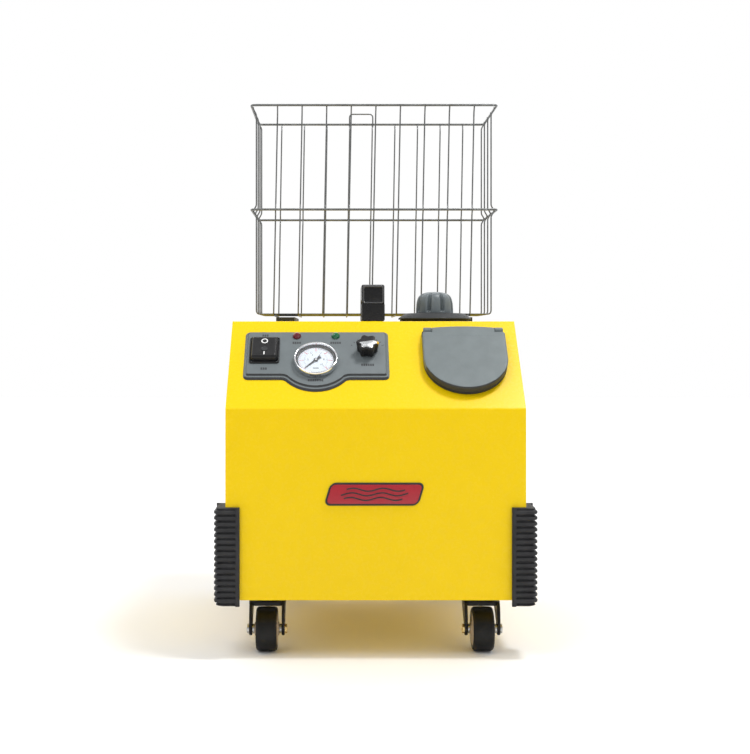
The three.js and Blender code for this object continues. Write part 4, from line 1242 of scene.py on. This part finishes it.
def axle(corner, side, place, body):
    """A bolt with two spacers and a hexagon nut, its head on the machine's outer side."""
    shank = lathe([(0, -21.4, 0), (3, -21.4, 0), (3, 21.4, 0), (0, 21.4, 0)], 32)
    spacers = [
        lathe([(3.05, z, 0), (5.4, z, 0.2), (5.4, z + 2.2, 0.2), (3.05, z + 2.2, 0)], 32, True)
        for z in (14.7, -16.9)
    ]
    head = [(0, 20.8, 0), (6.2, 20.8, 0), (6.2, 21.4, 0.1), (5.5, 21.5, 0), (5.5, 23.2, 0.6), (0, 23.4, 0)]
    outward = spin(FULL / 2 if side < 0 else 0, "Y")
    bolt = turn_z_to_x(shift(merge(shank, lathe(head, 32), *spacers), outward))
    shaft = add_piece(f"axle_bolt_{corner}", *bolt, place, ZINC, body)
    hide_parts(f"caster_axle_{corner}")
    hexagon = [circle(radius, z, 6) for radius, z in ((5.4, -20.8), (5.4, -23.2), (4.86, -23.4))]
    nut = turn_z_to_x(shift(bridge(hexagon), outward))
    lock = add_piece(f"axle_nut_{corner}", *nut, place, YELLOW_ZINC, body, sharp=20)


def caster(corner, side, lead):
    swivel = pivot_mm(f"swivel_{corner}")
    hub = at(swivel.x, swivel.y + lead * AXLE_LEAD, AXLE_Z)
    fork_body = f"fork_{corner}"
    fork(corner, lead, at(swivel.x, swivel.y, 0), fork_body)
    wheel(corner, hub, f"wheel_{corner}")
    axle(corner, side, hub, fork_body)
    dress(f"caster_plate_{corner}", ZINC, 0.4)


def casters():
    for side_name, side in (("left", -1), ("right", 1)):
        for end_name, end in (("front", -1), ("rear", 1)):
            corner = f"{end_name}_{side_name}"
            corner_bumper(f"bumper_{corner}", side, end)
            caster(corner, side, end)


# ---- fittings inside

def fittings():
    dress("boiler", STEEL)
    dress("heater", ZINC)
    dress("boiler_cradle", ZINC, 0.4)
    dress("safety_valve", BRASS)
    dress("pressure_switch", BLACK, 0.6)
    dress("solenoid_valve", BRASS, 0.6)
    dress("steam_pipe", BRASS)


# ---- stage

def camera():
    lens = bpy.data.cameras.new("view")
    lens.lens = 61.35
    lens.sensor_width = 36
    lens.shift_x = 0.0483
    lens.shift_y = -0.053
    eye = link_object("view", lens)
    eye.location = (-0.042, -1.662, 0.365)
    eye.rotation_euler = (FULL / 4, 0, 0)
    bpy.context.scene.camera = eye


def soft_light(name, place, aim, size, power):
    lamp = bpy.data.lights.new(name, "AREA")
    lamp.shape = "RECTANGLE"
    lamp.size, lamp.size_y = size
    lamp.energy = power
    light = link_object(name, lamp)
    light.location = place
    light.rotation_euler = (Vector(aim) - Vector(place)).to_track_quat("-Z", "Y").to_euler()


def studio_dome():
    """A white dome behind and above, dimmer in front so that dark pieces stay dark."""
    world = bpy.data.worlds.new("studio")
    world.use_nodes = True
    links = world.node_tree.links
    background = world.node_tree.nodes["Background"]
    set_inputs(background, {"Color": (1, 1, 1, 1)})
    coords = add_node(world, "ShaderNodeTexCoord")
    split = add_node(world, "ShaderNodeSeparateXYZ")
    links.new(coords.outputs["Generated"], split.inputs["Vector"])
    level = rescale(world, split.outputs["Y"], (-0.5, 0.4), (0.42, 1.0))
    links.new(level, background.inputs["Strength"])
    return world


def studio():
    reach = 6
    corners = [(-reach, -reach, 0), (reach, -reach, 0), (reach, reach, 0), (-reach, reach, 0)]
    mesh = bpy.data.meshes.new("floor")
    mesh.from_pydata(corners, [], [(0, 1, 2, 3)])
    paper, _ = shader("floor_paper", (0.94, 0.94, 0.94), 0.9)
    mesh.materials.append(paper)
    floor = link_object("floor", mesh)
    bpy.context.scene.world = studio_dome()
    soft_light("key", (-0.8, -1.1, 2.0), (0, 0, 0.3), (1.0, 1.0), 12)
    soft_light("fill", (1.5, -1.7, 1.0), (0, 0, 0.3), (0.8, 1.4), 3)
    soft_light("top", (0.68, -0.42, 2.2), (0, 0, 0.3), (0.42, 0.4), 22)
    soft_light("far_floor", (0, 4.2, 2.6), (0, 4.2, 0), (9, 5), 110)
    bpy.context.scene.view_settings.view_transform = "Standard"


camera()
housing()
rear_screws()
badge()
panel_moulding()
panel_marks()
gauge()
dial_print()
gauge_needle()
lamps()
power_switch()
rocker_boot()
rocker_marks()
steam_knob()
hose_socket()
filler()
cap_grip()
carry_handle()
basket()
casters()
fittings()
studio()
